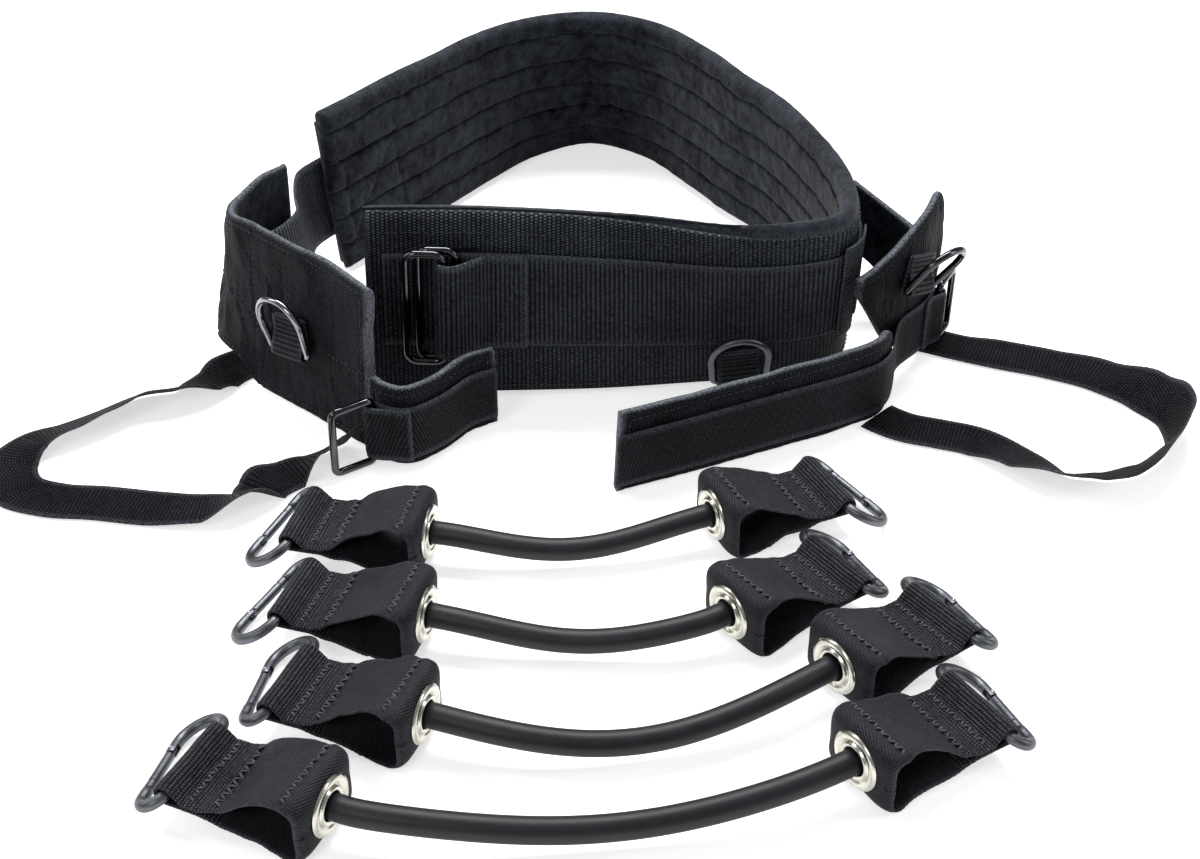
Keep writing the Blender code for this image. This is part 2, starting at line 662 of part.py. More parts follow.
# Resistance bands
def sleeve_path():
    """Side view of the sleeve's webbing: x outwards, y up."""
    base = SLEEVE_THICK / 2
    turn_radius = HOOK_CHANNEL + SLEEVE_THICK / 2
    lower = SLEEVE_RISE - turn_radius
    upper = lower + SLEEVE_THICK + CLEAR
    path = roll(SLEEVE_PIVOT, lower, turn_radius, SLEEVE_PIVOT - STITCHED[1], upper, -1, 9)
    path += [Vector((STITCHED[0], upper))]
    path += [Vector(p) * 0.001 for p in ((37, 12.6), (27, 17.8), (14, 23.6), (6, 26.2),
                                         (2.8, 26.3), (0.8, 24))]
    path += [Vector((base, SLEEVE_AXIS)), Vector((base, 0.0045)), Vector((0.0019, 0.0019))]
    path += [Vector((0.0045, base)), Vector((0.0125, base))]
    path += [Vector((0.022, 0.0032))]
    return path + [Vector((STITCHED[0], lower)), Vector((STITCHED[1], lower))]


def grommet_profile():
    """Half section of a grommet: x is the radius, z runs out of the sleeve's face."""
    back = -SLEEVE_THICK - CLEAR
    return [(GROMMET_HOLE, 0.0007), (GROMMET_BARREL, 0.0013), (GROMMET_FLANGE - 0.0009, 0.0011),
            (GROMMET_FLANGE, CLEAR), (GROMMET_BARREL, CLEAR), (GROMMET_BARREL, back),
            (GROMMET_WASHER, back), (GROMMET_WASHER, back - 0.0009), (GROMMET_HOLE, back - 0.0009)]


def grommet(name, matrix):
    """A turned eyelet made with a Screw modifier."""
    profile = grommet_profile()
    mesh = bpy.data.meshes.new(name)
    count = len(profile)
    mesh.from_pydata([(r, 0.0, z) for r, z in profile],
                     [(i, (i + 1) % count) for i in range(count)], [])
    made = place(bpy.data.objects.new(name, mesh), NICKEL)
    turned = made.modifiers.new("turned", "SCREW")
    turned.axis = "Z"
    turned.steps = 16
    turned.render_steps = 16
    turned.use_merge_vertices = True
    turned.merge_threshold = 0.0001
    turned.use_smooth_shade = True
    made.matrix_basis = matrix
    return made


def hook_outline(side):
    """Circle centres, tangent points and directions of a hook in its own plane."""
    step = HOOK_WIDE - HOOK_NARROW
    wide = Vector((HOOK_WIDE, side * HOOK_CENTRES / 2))
    narrow = Vector((HOOK_NARROW, -side * HOOK_CENTRES / 2))
    along = (narrow - wide).normalized()
    lean = math.acos(step / (narrow - wide).length)
    far = Matrix.Rotation(side * lean, 2) @ along
    return wide, narrow, wide + far * HOOK_WIDE, narrow + far * HOOK_NARROW


def turn_about(centre, start, end, side, count):
    """Points from start to end round a centre, turning by side."""
    first = math.atan2(start.y - centre.y, start.x - centre.x)
    last = math.atan2(end.y - centre.y, end.x - centre.x)
    while (last - first) * side < 0:
        last += side * 2 * math.pi
    radius = (start - centre).length
    return arc(centre, radius, math.degrees(first), math.degrees(last), count)


def hook(name, gate_name, matrix, side):
    """A snap hook's body and its gate."""
    wide, narrow, wide_far, narrow_far = hook_outline(side)
    straight = narrow_far - wide_far
    pivot = wide_far + straight * GATE_SPAN[0]
    nose = wide_far + straight * GATE_SPAN[1]
    toward = straight.normalized()
    line = [nose, narrow_far]
    line += turn_about(narrow, narrow_far, Vector((0.0, narrow.y)), -side, 6)[1:]
    line += turn_about(wide, Vector((0.0, wide.y)), wide_far, -side, 9)
    line += [pivot + toward * FORK_END]
    body = wire(name, [Vector((p.x, p.y, 0.0)) for p in line], HOOK_WIRE, GUNMETAL)
    body.matrix_basis = matrix

    at_pivot = matrix @ Matrix.Translation((pivot.x, pivot.y, 0.0)) @ Matrix.Rotation(
        math.atan2(toward.y, toward.x), 4, "Z")
    slot = box(name + "_slot", (FORK_LENGTH, 3 * HOOK_WIRE, FORK_SLOT),
               at_pivot @ Matrix.Translation((FORK_LENGTH / 2 - FORK_HEEL, 0.0, 0.0)))
    cut(body, slot)
    cut(body, cylinder(name + "_pin_hole", PIN_RADIUS + CLEAR, 4 * HOOK_WIRE, 8, at_pivot))

    end = (nose - pivot).length - CLEAR
    half = GATE_TONGUE / 2
    shapes = [(-TONGUE_HEEL, TONGUE_HALF / 2, half), (-TONGUE_HEEL / 2, TONGUE_HALF, half),
              (FORK_END, TONGUE_HALF, half), (GATE_NECK, GATE_WIRE, GATE_WIRE),
              (end - CLEAR, GATE_WIRE, GATE_WIRE), (end, GATE_WIRE - CLEAR, GATE_WIRE - CLEAR)]
    rings = [[Vector((x, w * math.cos(a), t * math.sin(a)))
              for a in spread(math.pi / 8, math.pi / 8 + 2 * math.pi, 9)[:-1]]
             for x, w, t in shapes]
    gate = skin(gate_name, rings, GUNMETAL, smooth=True)
    gate.matrix_basis = at_pivot
    pin = cylinder(gate_name + "_pin", PIN_RADIUS, 2 * HOOK_WIRE, 8, at_pivot)
    cut(gate, pin)
    gate.modifiers[-1].operation = "UNION"
    return at_pivot


def band_end(number, side, data):
    """Sleeve, grommet, hook and gate at one end of a band; returns the sleeve's frame."""
    x, y, degrees, wide, slide = data
    prefix = "band_" + str(number) + "_"
    frame = Matrix.Translation(mm(x, y)) @ Matrix.Rotation(math.radians(degrees), 4, "Z")

    def where(p, edge):
        return Vector((p.x, edge, p.y))

    sleeve = strip(prefix + "sleeve_" + side, where, sleeve_path(), SLEEVE_THICK,
                   (-SLEEVE_WIDTH / 2, SLEEVE_WIDTH / 2), WEBBING, closed=True)
    sleeve.matrix_basis = frame
    face = frame @ Matrix.Translation((0.0, 0.0, SLEEVE_AXIS)) @ Matrix.Rotation(
        -math.pi / 2, 4, "Y")
    cut(sleeve, cylinder(prefix + "eye_" + side, GROMMET_BARREL + CLEAR, 0.006, 16, face))
    grommet(prefix + "grommet_" + side, face)

    droop = math.asin((SLEEVE_RISE - HOOK_WIRE - 0.0002) / (2 * HOOK_WIDE))
    hinge = frame @ Matrix.Translation((SLEEVE_PIVOT, slide * 0.001, SLEEVE_RISE))
    hook(prefix + "hook_" + side, prefix + "gate_" + side,
         hinge @ Matrix.Rotation(droop, 4, "Y"), wide)
    return frame


def tube(number, left, right, bows):
    """The rubber tube between two sleeves, with a stopper inside each."""
    ends = []
    for frame in (left, right):
        along = (frame @ Vector((1, 0, 0)) - frame.translation).normalized()
        ends.append((frame @ Vector((0.0, 0.0, 0.0)), along))
    (a, a_out), (b, b_out) = ends
    start, stop = a - a_out * TUBE_LEAD, b - b_out * TUBE_LEAD
    handles = [start, start - a_out * bows[0], stop - b_out * bows[1], stop]
    flat = []
    for t in spread(0.0, 1.0, 60):
        u = 1 - t
        flat.append(handles[0] * u ** 3 + handles[1] * 3 * u * u * t
                    + handles[2] * 3 * u * t * t + handles[3] * t ** 3)
    flat = resample(flat, 24)
    run = lengths(flat)
    middle = []
    for point, s in zip(flat, run):
        lift = 0.5 * (1 + math.cos(2 * math.pi * s / run[-1]))
        middle.append(point + Vector((0, 0, TUBE_LOW + (SLEEVE_AXIS - TUBE_LOW) * lift)))
    fat = STOPPER_RADIUS / TUBE_RADIUS
    line = [(STOPPER[1] + STOPPER_BEVEL, (1 + 2 * fat) / 3), (STOPPER[1], fat),
            (STOPPER[0], fat), (STOPPER[0] - STOPPER_BEVEL, 1.0)]
    up = Vector((0, 0, SLEEVE_AXIS))
    points = [a + a_out * x + up for x, _ in line] + middle
    points += [b + b_out * x + up for x, _ in reversed(line)]
    thick = [w for _, w in line] + [1.0] * len(middle) + [w for _, w in reversed(line)]
    wire("band_" + str(number) + "_tube", points, TUBE_RADIUS, RUBBER, thick=thick)


for index, (left_end, right_end, bows) in enumerate(BANDS, start=1):
    left_frame = band_end(index, "left", left_end)
    right_frame = band_end(index, "right", right_end)
    tube(index, left_frame, right_frame, bows)

cutters.hide_render = True
bpy.context.view_layer.update()
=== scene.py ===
import math
from bisect import bisect_right

import bmesh
import bpy
from mathutils import Matrix, Vector, noise


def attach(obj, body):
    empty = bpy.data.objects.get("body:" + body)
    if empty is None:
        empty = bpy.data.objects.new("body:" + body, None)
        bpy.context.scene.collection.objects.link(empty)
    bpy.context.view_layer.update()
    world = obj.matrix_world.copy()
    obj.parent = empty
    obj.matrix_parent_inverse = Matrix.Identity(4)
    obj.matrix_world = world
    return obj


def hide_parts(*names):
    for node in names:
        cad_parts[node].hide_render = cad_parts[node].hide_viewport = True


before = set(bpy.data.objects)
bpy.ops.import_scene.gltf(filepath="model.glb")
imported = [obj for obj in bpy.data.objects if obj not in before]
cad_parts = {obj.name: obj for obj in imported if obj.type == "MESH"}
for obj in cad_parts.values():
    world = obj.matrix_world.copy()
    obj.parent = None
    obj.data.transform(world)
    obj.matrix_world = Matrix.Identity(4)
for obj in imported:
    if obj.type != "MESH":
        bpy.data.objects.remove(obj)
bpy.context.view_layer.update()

# Sizes shared with the CAD source, metres unless said otherwise
CLEAR = 0.0003
SPAN = 10
CENTRE = Vector((-0.0023, 0.00527, 0.0))      # layout point at the shared frame's origin
BELT_HEIGHT = 0.100
BELT_BASE = 0.00045
PAD_FACE = 0.0030
COVER_THICK = 0.0015
STRAP_WIDTH = 0.050
STRAP_THICK = 0.0016
STRAP_MIDDLE = 0.0545
TAIL_RISE = 0.020
RING_WIRE = 0.0018
BUCKLE_SIZE = (0.0214, 0.0610)
BUCKLE_CORNER = 0.0050
BUCKLE_STACK = 0.00275
BUCKLE_X = -0.0718
BUCKLE_CHANNEL = 0.0060
BUCKLE_REACH = 0.0170
BUCKLE_DOUBLED = -0.0348
LOOP_SIZE = (0.0240, 0.0365)
LOOP_CORNER = 0.0030
D_BAR_HALF = 0.0130
D_RADIUS = 0.0140
D_SHOULDER = 0.0150
D_CORNER = 0.0030
TAB_WIDTH = 0.0215
TAB_THICK = 0.0014
TAB_LENGTH = 0.0170
CUFF_FACE = 0.0022
CUFF_BACK = 0.0026
OVERLAY_WIDTH = 0.028
OVERLAY_THICK = 0.0015
STIRRUP_WIDTH = 0.025
STIRRUP_THICK = 0.0012
SLEEVE_WIDTH = 0.036
SLEEVE_THICK = 0.0016
SLEEVE_AXIS = 0.014
SLEEVE_PIVOT = 0.057
SLEEVE_RISE = 0.0120
STITCHED = (0.0430, 0.0500)
TUBE_RADIUS = 0.0050
TUBE_LOW = 0.0090
TUBE_LEAD = 0.006
HOOK_WIRE = 0.00225
HOOK_WIDE = 0.0100
HOOK_NARROW = 0.0055
HOOK_CENTRES = 0.0330
HOOK_CHANNEL = HOOK_WIRE + 0.0006
GATE_WIRE = 0.0020
GATE_SPAN = (0.14, 0.84)
GATE_TONGUE = 0.0015
GATE_NECK = 0.0029
FORK_SLOT = GATE_TONGUE + 2 * CLEAR
FORK_END = 0.0019
FORK_LENGTH = 0.0064
FORK_HEEL = 0.0024

# Layout points in millimetres, as in the CAD source
BELT_PATH = [(-112, 11), (-54, 11.5), (10, 15.5), (64, 24), (97, 28), (114, 38), (121, 57),
             (119, 95), (108, 142), (92, 180), (75, 205), (52, 245), (28, 281), (-6, 301),
             (-41, 281), (-65, 250), (-87, 217), (-115, 175), (-140, 136)]
BELT_LEAN = [(3, 0), (3, -1), (-1, -11), (-5, -25), (-6, -26), (-2, -27), (-3, -26), (-3, -26),
             (-4, -26), (-2, -27), (2, -27), (7, -28), (5, -29), (0, -30), (-4, -24), (-7, -19),
             (-7, -18), (-6, -17), (-5, -16)]
BELT_BACK = 13
TAIL_PATH = [(-152.5, 120, 21), (-151.5, 100, 20), (-147.5, 82, 19), (-153, 64, 19),
             (-163, 51, 19)]
TAIL_LEAN = (-4, -9, 49)
# Each band: (x, y, degrees, side of the hook's wide end, its slide) at both ends, and how far
# the tube's line runs on from its ends before it bends, in metres
BANDS = [
    ((-72.3, -120.5, 167.7, 1, -0.4), (48.3, -107.8, 24.5, -1, 0.2), (0.020, 0.060)),
    ((-69.2, -174.3, 163.5, 1, 0.4), (51.3, -172.9, 34.5, 1, 0.4), (0.045, 0.020)),
    ((-64.8, -231.3, 159.8, -1, -0.4), (89.9, -204.9, 35.3, 1, -0.4), (0.032, 0.080)),
    ((-94.2, -277.0, 156.8, -1, 0.4), (91.8, -255.3, 30.9, 1, -0.4), (0.020, 0.066)),
]
# A harness's walls are (bottom, top) lines; a stirrup's points are (x, y, roll in degrees)
LEFT = {
    "cuff": ([(-157, 77, 40), (-176, 66, 16), (-188, 55, 1), (-191, 47, 9), (-187, 37, 12),
              (-178, 26, 11), (-169, 17.5, 1.9), (-150, 1, 0.6), (-126.5, -19, 0.2),
              (-107, -38, 0.2)],
             [(-156, 78, 91), (-166, 66, 90), (-174, 54, 86), (-177, 46, 85), (-176, 38, 85),
              (-171, 28, 87), (-164, 21, 88), (-146, 4, 88), (-123, -17, 88), (-101, -44, 88)]),
    "band": ([(-106.3, -38.7, 0.2), (-98, -47, 0.2), (-88, -50, 0.2), (-75, -40, 0.2),
              (-62, -23, 0.2), (-50, -15, 0.2)],
             [(-103.4, -41.6, 42), (-97.5, -47.5, 42), (-88, -51, 42), (-75, -41, 42),
              (-62, -24, 42), (-50, -16, 42)]),
    "stirrup": [(-166, 44, 0), (-176, 36, -6), (-185, 27, -8), (-194, 13, 10), (-204, 2, 34),
                (-220, -3, 34), (-236, -17, 30), (-251, -29, 24), (-265, -38, 12),
                (-271, -54, 0), (-263, -72, 0), (-244, -80, 0), (-224, -82, 0),
                (-200, -86, 0), (-177, -88, -6), (-159, -84, -34), (-150, -69, 10),
                (-141, -60, 0), (-130, -54, -34), (-121, -47, -45), (-114.5, -40.5, -50)],
    "d_ring": (0.118, 0.034, 8, 12),
    "overlay": (0.0045, None),
    "loop": 216,
}
RIGHT = {
    "cuff": ([(121, 5, 57), (131, 12.5, 38), (140, 22, 21), (158, 43, 6), (165, 56, 2.2),
              (168, 65, 1.9), (164, 76, 4.6), (148, 88, 22), (129, 95, 38)],
             [(121, 4, 66), (131, 13, 69), (140, 22, 73), (157, 42, 83), (164, 55, 87),
              (168, 64, 66), (165, 74, 54), (150, 87, 60), (129, 94, 74)]),
    "band": ([(7, -72, 0.2), (40, -57, 0.2), (80, -38, 0.2), (118, -19, 0.2), (131, -10, 0.2),
              (136.5, -1, 0.2), (139, 8, 0.2), (140.5, 15, 0.2)],
             [(9, -73, 43), (41, -58, 43), (80, -39, 43), (118, -20, 43), (131, -10.5, 43),
              (136, -1, 42), (138.5, 8, 28), (140, 15, 15)]),
    "stirrup": [(161.5, 62, 0), (170, 58, 0), (182, 52, 0), (202, 43, 5), (225, 34, 5),
                (248, 21, 10), (265, 1, 30), (272, -22, 60), (266, -45, 72), (251, -63, 66),
                (234, -72, 50), (221, -72, 40), (208, -69, 34), (194, -52, 12), (177, -34, 0),
                (160, -27, 0), (146, -22, 0), (137.1, -15.9, 0), (132.8, -11.8, 0)],
    "d_ring": (0.044, 0.036, -16, 32),
    "overlay": (0.0045, [(146.2, 23.3, 5), (151.9, 30.1, 6), (157.8, 36.9, 6),
                         (163.0, 44.6, 6), (168.6, 55.9, 6)]),
    "loop": 62,
}


# ---------------------------------------------------------------- geometry
def mm(x, y, z=0.0):
    """A layout point in metres."""
    return Vector((x, y, z)) * 0.001


def spread(start, end, count):
    return [start + (end - start) * i / (count - 1) for i in range(count)]


def circle(count):
    """Evenly spaced angles of one full turn."""
    return [2 * math.pi * k / count for k in range(count)]


def arc(centre, radius, start, end, count):
    """Points of a flat arc, angles in degrees."""
    return [Vector((centre[0] + radius * math.cos(math.radians(a)),
                    centre[1] + radius * math.sin(math.radians(a))))
            for a in spread(start, end, count)]


def spline(points, per_span):
    """A centripetal Catmull-Rom curve through the points."""
    ends = [points[0] * 2 - points[1]] + list(points) + [points[-1] * 2 - points[-2]]
    curve = []
    for i in range(len(points) - 1):
        four = ends[i:i + 4]
        knots = [0.0]
        for a, b in zip(four, four[1:]):
            knots.append(knots[-1] + max((b - a).length, 1e-6) ** 0.5)

        def mix(a, b, low, high, t):
            return a + (b - a) * ((t - low) / (high - low))

        for t in spread(knots[1], knots[2], per_span + 1)[:-1]:
            a, b, c = [mix(four[k], four[k + 1], knots[k], knots[k + 1], t) for k in range(3)]
            d = mix(a, b, knots[0], knots[2], t)
            e = mix(b, c, knots[1], knots[3], t)
            curve.append(mix(d, e, knots[1], knots[2], t))
    return curve + [points[-1].copy()]


def lengths(points):
    """How far along the line each point lies."""
    run = [0.0]
    for a, b in zip(points, points[1:]):
        run.append(run[-1] + (b - a).length)
    return run


def resample(points, count):
    """Evenly spaced points along a line."""
    run = lengths(points)
    result = []
    for s in spread(0.0, run[-1], count):
        i = min(bisect_right(run, s) - 1, len(points) - 2)
        result.append(points[i].lerp(points[i + 1], (s - run[i]) / (run[i + 1] - run[i])))
    return result


def dense(path, step):
    """The line with points at least as close as step."""
    result = [path[0]]
    for a, b in zip(path, path[1:]):
        parts = max(1, math.ceil((b - a).length / step))
        result += [a.lerp(b, k / parts) for k in range(1, parts + 1)]
    return result


def rough(p, size, seed=0.0):
    """Smooth noise from -1 to 1 with features of the given size."""
    return noise.noise(Vector(p) / size + Vector((seed, seed * 1.7, seed * 0.3)))


def ease(t):
    """0 below 0, 1 above 1 and a smooth step between."""
    t = min(max(t, 0.0), 1.0)
    return t * t * (3 - 2 * t)


def bell(gap, width):
    """1 on a line, fading over the width to each side of it."""
    return math.exp(-(gap / width) ** 2)


class Wall:
    """A ruled sheet between a bottom and a top line."""

    def __init__(self, bottom, top, step=0.0014, blur=3, per_span=SPAN):
        self.bottom = spline(bottom, per_span)
        self.top = spline(top, per_span)
        self.middle = [(a + b) / 2 for a, b in zip(self.bottom, self.top)]
        self.run = lengths(self.middle)
        self.length = self.run[-1]
        self.frames = self.smooth_frames(step, blur)

    def rule(self, s):
        i = min(max(bisect_right(self.run, s) - 1, 0), len(self.run) - 2)
        t = (s - self.run[i]) / (self.run[i + 1] - self.run[i])
        return [line[i] + (line[i + 1] - line[i]) * t for line in (self.bottom, self.top)]

    def height(self, s):
        low, high = self.rule(s)
        return (high - low).length

    def frame(self, s, h=None):
        """Foot, direction along, upwards and outwards at a run and a height."""
        low, high = self.rule(s)
        up = (high - low).normalized()
        level = (high - low).length / 2 if h is None else h
        step = 0.0015
        before, after = [a + (b - a).normalized() * level
                         for a, b in (self.rule(s - step), self.rule(s + step))]
        out = (after - before).cross(up).normalized()
        return low, up.cross(out), up, out

    def at(self, s, h, out):
        low, _, up, normal = self.frame(s)
        return low + up * h + normal * out

    def find_x(self, x):
        for i, point in enumerate(self.middle):
            if point.x >= x:
                return self.run[i]
        return self.length

    def smooth_frames(self, step, blur):
        """Evenly spaced frames whose normals are averaged, so fine sheets don't crease."""
        runs = spread(0.0, self.length, max(int(self.length / step), 4))
        raw = [self.frame(s) for s in runs]
        frames = []
        for i, s in enumerate(runs):
            low, _, up, _ = raw[i]
            near = raw[max(i - blur, 0):i + blur + 1]
            out = sum((f[3] for f in near), Vector()).normalized()
            frames.append((s, low, up, (out - up * out.dot(up)).normalized()))
        return frames

    def smooth(self, s):
        """Foot, upwards and the averaged outward direction at any run."""
        t = s / self.length * (len(self.frames) - 1)
        i = min(max(int(t), 0), len(self.frames) - 2)
        low, _, up, _ = self.frame(s)
        out = self.frames[i][3].lerp(self.frames[i + 1][3], min(max(t - i, 0.0), 1.0))
        return low, up, (out - up * out.dot(up)).normalized()

    def lay(self, p, edge):
        """Where a side view's point (run, distance out) lies at a height on the wall."""
        low, up, out = self.smooth(p.x)
        return low + up * edge + out * p.y


def axes(base, x, y, z):
    """A matrix from an origin and three directions."""
    return Matrix.Translation(base) @ Matrix((x, y, z)).transposed().to_4x4()


def roll(centre, level, radius, reach, upper, side, count):
    """Side view of webbing that lies at level, turns round a bar and comes back at upper."""
    middle = Vector((centre, level + radius))
    gap = Vector((reach, upper - middle.y))
    stop = math.degrees(math.atan2(gap.y, gap.x) + math.acos(radius / gap.length))
    turned = arc((0.0, 0.0), radius, -90.0, stop - 360.0, count)
    points = [Vector((middle.x + side * p.x, middle.y + p.y)) for p in turned]
    return points + [Vector((centre + side * reach, upper))]


# ---------------------------------------------------------------- pieces
EDGE_THIN = 0.45        # how thick a webbing's edge is, as a share of its middle
RIBBON_END = 0.0006     # how far a cut end is painted lighter, as wear with a painted edge highlight
SHARP = 50              # degrees above which an edge stays sharp
WEBBING, METAL = "nylon_webbing", "gunmetal_steel"


def finish_piece(name, mesh, body, material, node=None, matrix=None, slot=WEBBING):
    """Moves a mesh from the layout into the shared frame; gives it its body and material."""
    if matrix:
        mesh.transform(matrix)
    mesh.transform(Matrix.Translation(-CENTRE))
    mesh.name = name
    made = bpy.data.objects.new(name, mesh)
    bpy.context.scene.collection.objects.link(made)
    mesh.materials.append(material)
    for face in mesh.polygons:
        face.use_smooth = True
    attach(made, body)
    if node:
        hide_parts(node)
    return made


def grid_mesh(rings, us, vs, closed=False, wear_and_edge_light=None, ends=0.0):
    """A mesh over rings of equal count, with a UV map in metres: u along, v round a ring.

    The lighter-edge mask says how much lighter each point of a ring is painted, as wear with a
    painted edge highlight; ends how far that holds at both ends.
    """
    count = len(rings[0])
    points = [p for ring in rings for p in ring]
    faces, uvs = [], []
    for i in range(len(rings) if closed else len(rings) - 1):
        j = (i + 1) % len(rings)
        u0, u1 = us[i], us[j] if j else us[-1] + (us[1] - us[0])
        for k in range(count):
            n = (k + 1) % count
            faces.append((i * count + k, i * count + n, j * count + n, j * count + k))
            v0 = vs[k]
            v1 = vs[n] if n else vs[k] + (rings[i][k] - rings[i][0]).length
            uvs += [(u0, v0), (u0, v1), (u1, v1), (u1, v0)]
    if not closed:
        last = len(points) - count
        faces += [tuple(reversed(range(count))), tuple(range(last, last + count))]
        uvs += [(us[0], v) for v in reversed(vs)] + [(us[-1], v) for v in vs]
    mesh = bpy.data.meshes.new("grid")
    mesh.from_pydata(points, [], faces)
    layer = mesh.uv_layers.new(name="UVMap")
    layer.data.foreach_set("uv", [c for uv in uvs for c in uv])
    rubbed_and_lit = []
    for u in us:
        at_end = 1.0 - ease(min(u - us[0], us[-1] - u) / ends) if ends else 0.0
        rubbed_and_lit += [max(w, at_end) for w in (wear_and_edge_light or [0.0] * count)]
    mesh.attributes.new("wear_and_edge_light", "FLOAT", "POINT").data.foreach_set("value", rubbed_and_lit)
    work = bmesh.new()
    work.from_mesh(mesh)
    bmesh.ops.recalc_face_normals(work, faces=work.faces)
    bmesh.ops.triangulate(work, faces=[f for f in work.faces if len(f.verts) > 4])
    work.to_mesh(mesh)
    work.free()
    return mesh


def sheet_mesh(sides, us, levels, edge_wear_light, closed=False, ends=0.0):
    """A thin sheet from the (front, back) rows of points at each step along it."""
    rings = [front + back[::-1] for front, back in sides]
    return grid_mesh(rings, us, levels + levels[::-1], closed, edge_wear_light + edge_wear_light[::-1], ends)


def ribbon(where, path, width, thick, low_edge, closed=False, across=9, rib=0.0, wear_and_light=1.0):
    """Woven webbing whose side view is a drawn line; where(flat point, edge) places it."""
    levels = spread(0.0, 1.0, across)
    sides = []
    for i, point in enumerate(path):
        before = point - path[i - 1] if i or closed else path[1] - point
        after = path[(i + 1) % len(path)] - point if i < len(path) - 1 or closed else before
        before, after = before.normalized(), after.normalized()
        normal = Vector((-(before + after).y, (before + after).x)).normalized()
        half = normal * (thick / 2 / max(normal.dot(Vector((-before.y, before.x))), 0.5))
        wave = rib * (i % 2)
        rows = [], []
        for t in levels:
            offset = half * (EDGE_THIN if t in (0.0, 1.0) else 1.0)
            spot = low_edge + width * t + (wave if t == 1.0 else -wave if t == 0.0 else 0.0)
            rows[0].append(where(point + offset, spot))
            rows[1].append(where(point - offset, spot))
        sides.append(rows)
    # Both long edges painted lighter: wear, with a painted edge highlight
    edge_wear_light = [wear_and_light if t in (0.0, 1.0) else 0.0 for t in levels]
    return sheet_mesh(sides, lengths(path), [width * t for t in levels], edge_wear_light, closed,
                      0.0 if closed else RIBBON_END)


def woven(name, body, material, where, path, width, thick, low_edge, held, rests_on=(),
          node=None, flat=None, **shape):
    """A ribbon as a finished piece of webbing."""
    mesh = ribbon(where, path, width, thick, low_edge, **shape)
    made = finish_piece(name, mesh, body, material, node)
    flat or (width, lengths(path)[-1])


def wire_mesh(points, radius, closed=False, sides=16, thick=None):
    """A round bar along a line, as a quad mesh."""
    count = len(points)
    rings, normal = [], None
    for i, p in enumerate(points):
        a = points[i - 1] if i or closed else p
        b = points[(i + 1) % count] if i < count - 1 or closed else p
        tangent = (b - a).normalized()
        if normal is None:
            normal = tangent.orthogonal().normalized()
        normal = (normal - tangent * normal.dot(tangent)).normalized()
        other = tangent.cross(normal)
        size = radius * (thick[i] if thick else 1.0)
        rings.append([p + (normal * math.cos(t) + other * math.sin(t)) * size
                      for t in circle(sides)])
    return grid_mesh(rings, lengths(points), [radius * t for t in circle(sides)], closed)


# One stitch's rings: (place along it in lengths, thickness and height in radii)
STITCH = ((0.0, 0.35, -0.6), (0.15, 0.85, 0.2), (0.5, 1.0, 0.6), (0.85, 0.85, 0.2),
          (1.0, 0.35, -0.6))
STITCH_SIDES = 6


def stitch_row(parts, seam, pitch=0.0032, length=0.0023, radius=0.00032):
    """Adds stitches along a seam of (point, normal) pairs to a list of (points, faces)."""
    run = lengths([p for p, _ in seam])
    sides = STITCH_SIDES
    s = pitch / 2
    while s < run[-1] - length / 2:
        ends = []
        for at in (s - length / 2, s + length / 2):
            i = min(max(bisect_right(run, at) - 1, 0), len(seam) - 2)
            t = (at - run[i]) / max(run[i + 1] - run[i], 1e-9)
            ends.append([v.lerp(w, t) for v, w in zip(seam[i], seam[i + 1])])
        (a, na), (b, nb) = ends
        along = (b - a).normalized()
        points, faces = [], []
        for t, size, high in STITCH:
            up = na.lerp(nb, t).normalized()
            side = along.cross(up).normalized()
            middle = a.lerp(b, t) + up * (radius * high)
            points += [middle + (side * math.cos(q) + up * math.sin(q)) * (radius * size)
                       for q in circle(sides)]
        for r in range(0, len(points) - sides, sides):
            faces += [(r + k, r + (k + 1) % sides, r + sides + (k + 1) % sides, r + sides + k)
                      for k in range(sides)]
        faces += [tuple(reversed(range(sides))), tuple(range(len(points) - sides, len(points)))]
        parts.append((points, faces))
        s += pitch


def zigzag(parts, seam, radius):
    """One slanted stitch between each point of a seam and the next."""
    for pair in zip(seam, seam[1:]):
        span = (pair[1][0] - pair[0][0]).length
        stitch_row(parts, pair, span, span * 0.84, radius)


def stitches(name, parts, body, matrix=None, material=None):
    """One piece from many stitches."""
    points, faces = [], []
    for p, f in parts:
        base = len(points)
        points += p
        faces += [tuple(base + i for i in face) for face in f]
    mesh = bpy.data.meshes.new(name)
    mesh.from_pydata(points, [], faces)
    finish_piece(name, mesh, body, material or THREAD, matrix=matrix)


# ---------------------------------------------------------------- materials
def add_node(tree, kind, **inputs):
    """A shader node with its inputs set or linked; _ stands for a space in their names."""
    made = tree.nodes.new("ShaderNode" + kind)
    for name, value in inputs.items():
        put(made.inputs[name.replace("_", " ")], value)
    return made


def put(socket, value):
    """Sets an input socket, or links it to a Value or to another socket."""
    source = getattr(value, "socket", value)
    if isinstance(source, bpy.types.NodeSocket):
        socket.id_data.links.new(source, socket)
    else:
        socket.default_value = source


class Value:
    """A node socket with arithmetic, so that a pattern reads as a formula."""

    def __init__(self, socket):
        self.socket = socket

    def op(self, kind, *others):
        node = add_node(self.socket.id_data, "Math")
        node.operation = kind
        for i, item in enumerate((self, *others)):
            put(node.inputs[i], item)
        return Value(node.outputs[0])

    def __add__(self, other):
        return self.op("ADD", other)

    def __mul__(self, other):
        return self.op("MULTIPLY", other)

    def clamp(self):
        return Value(add_node(self.socket.id_data, "Clamp", Value=self).outputs[0])


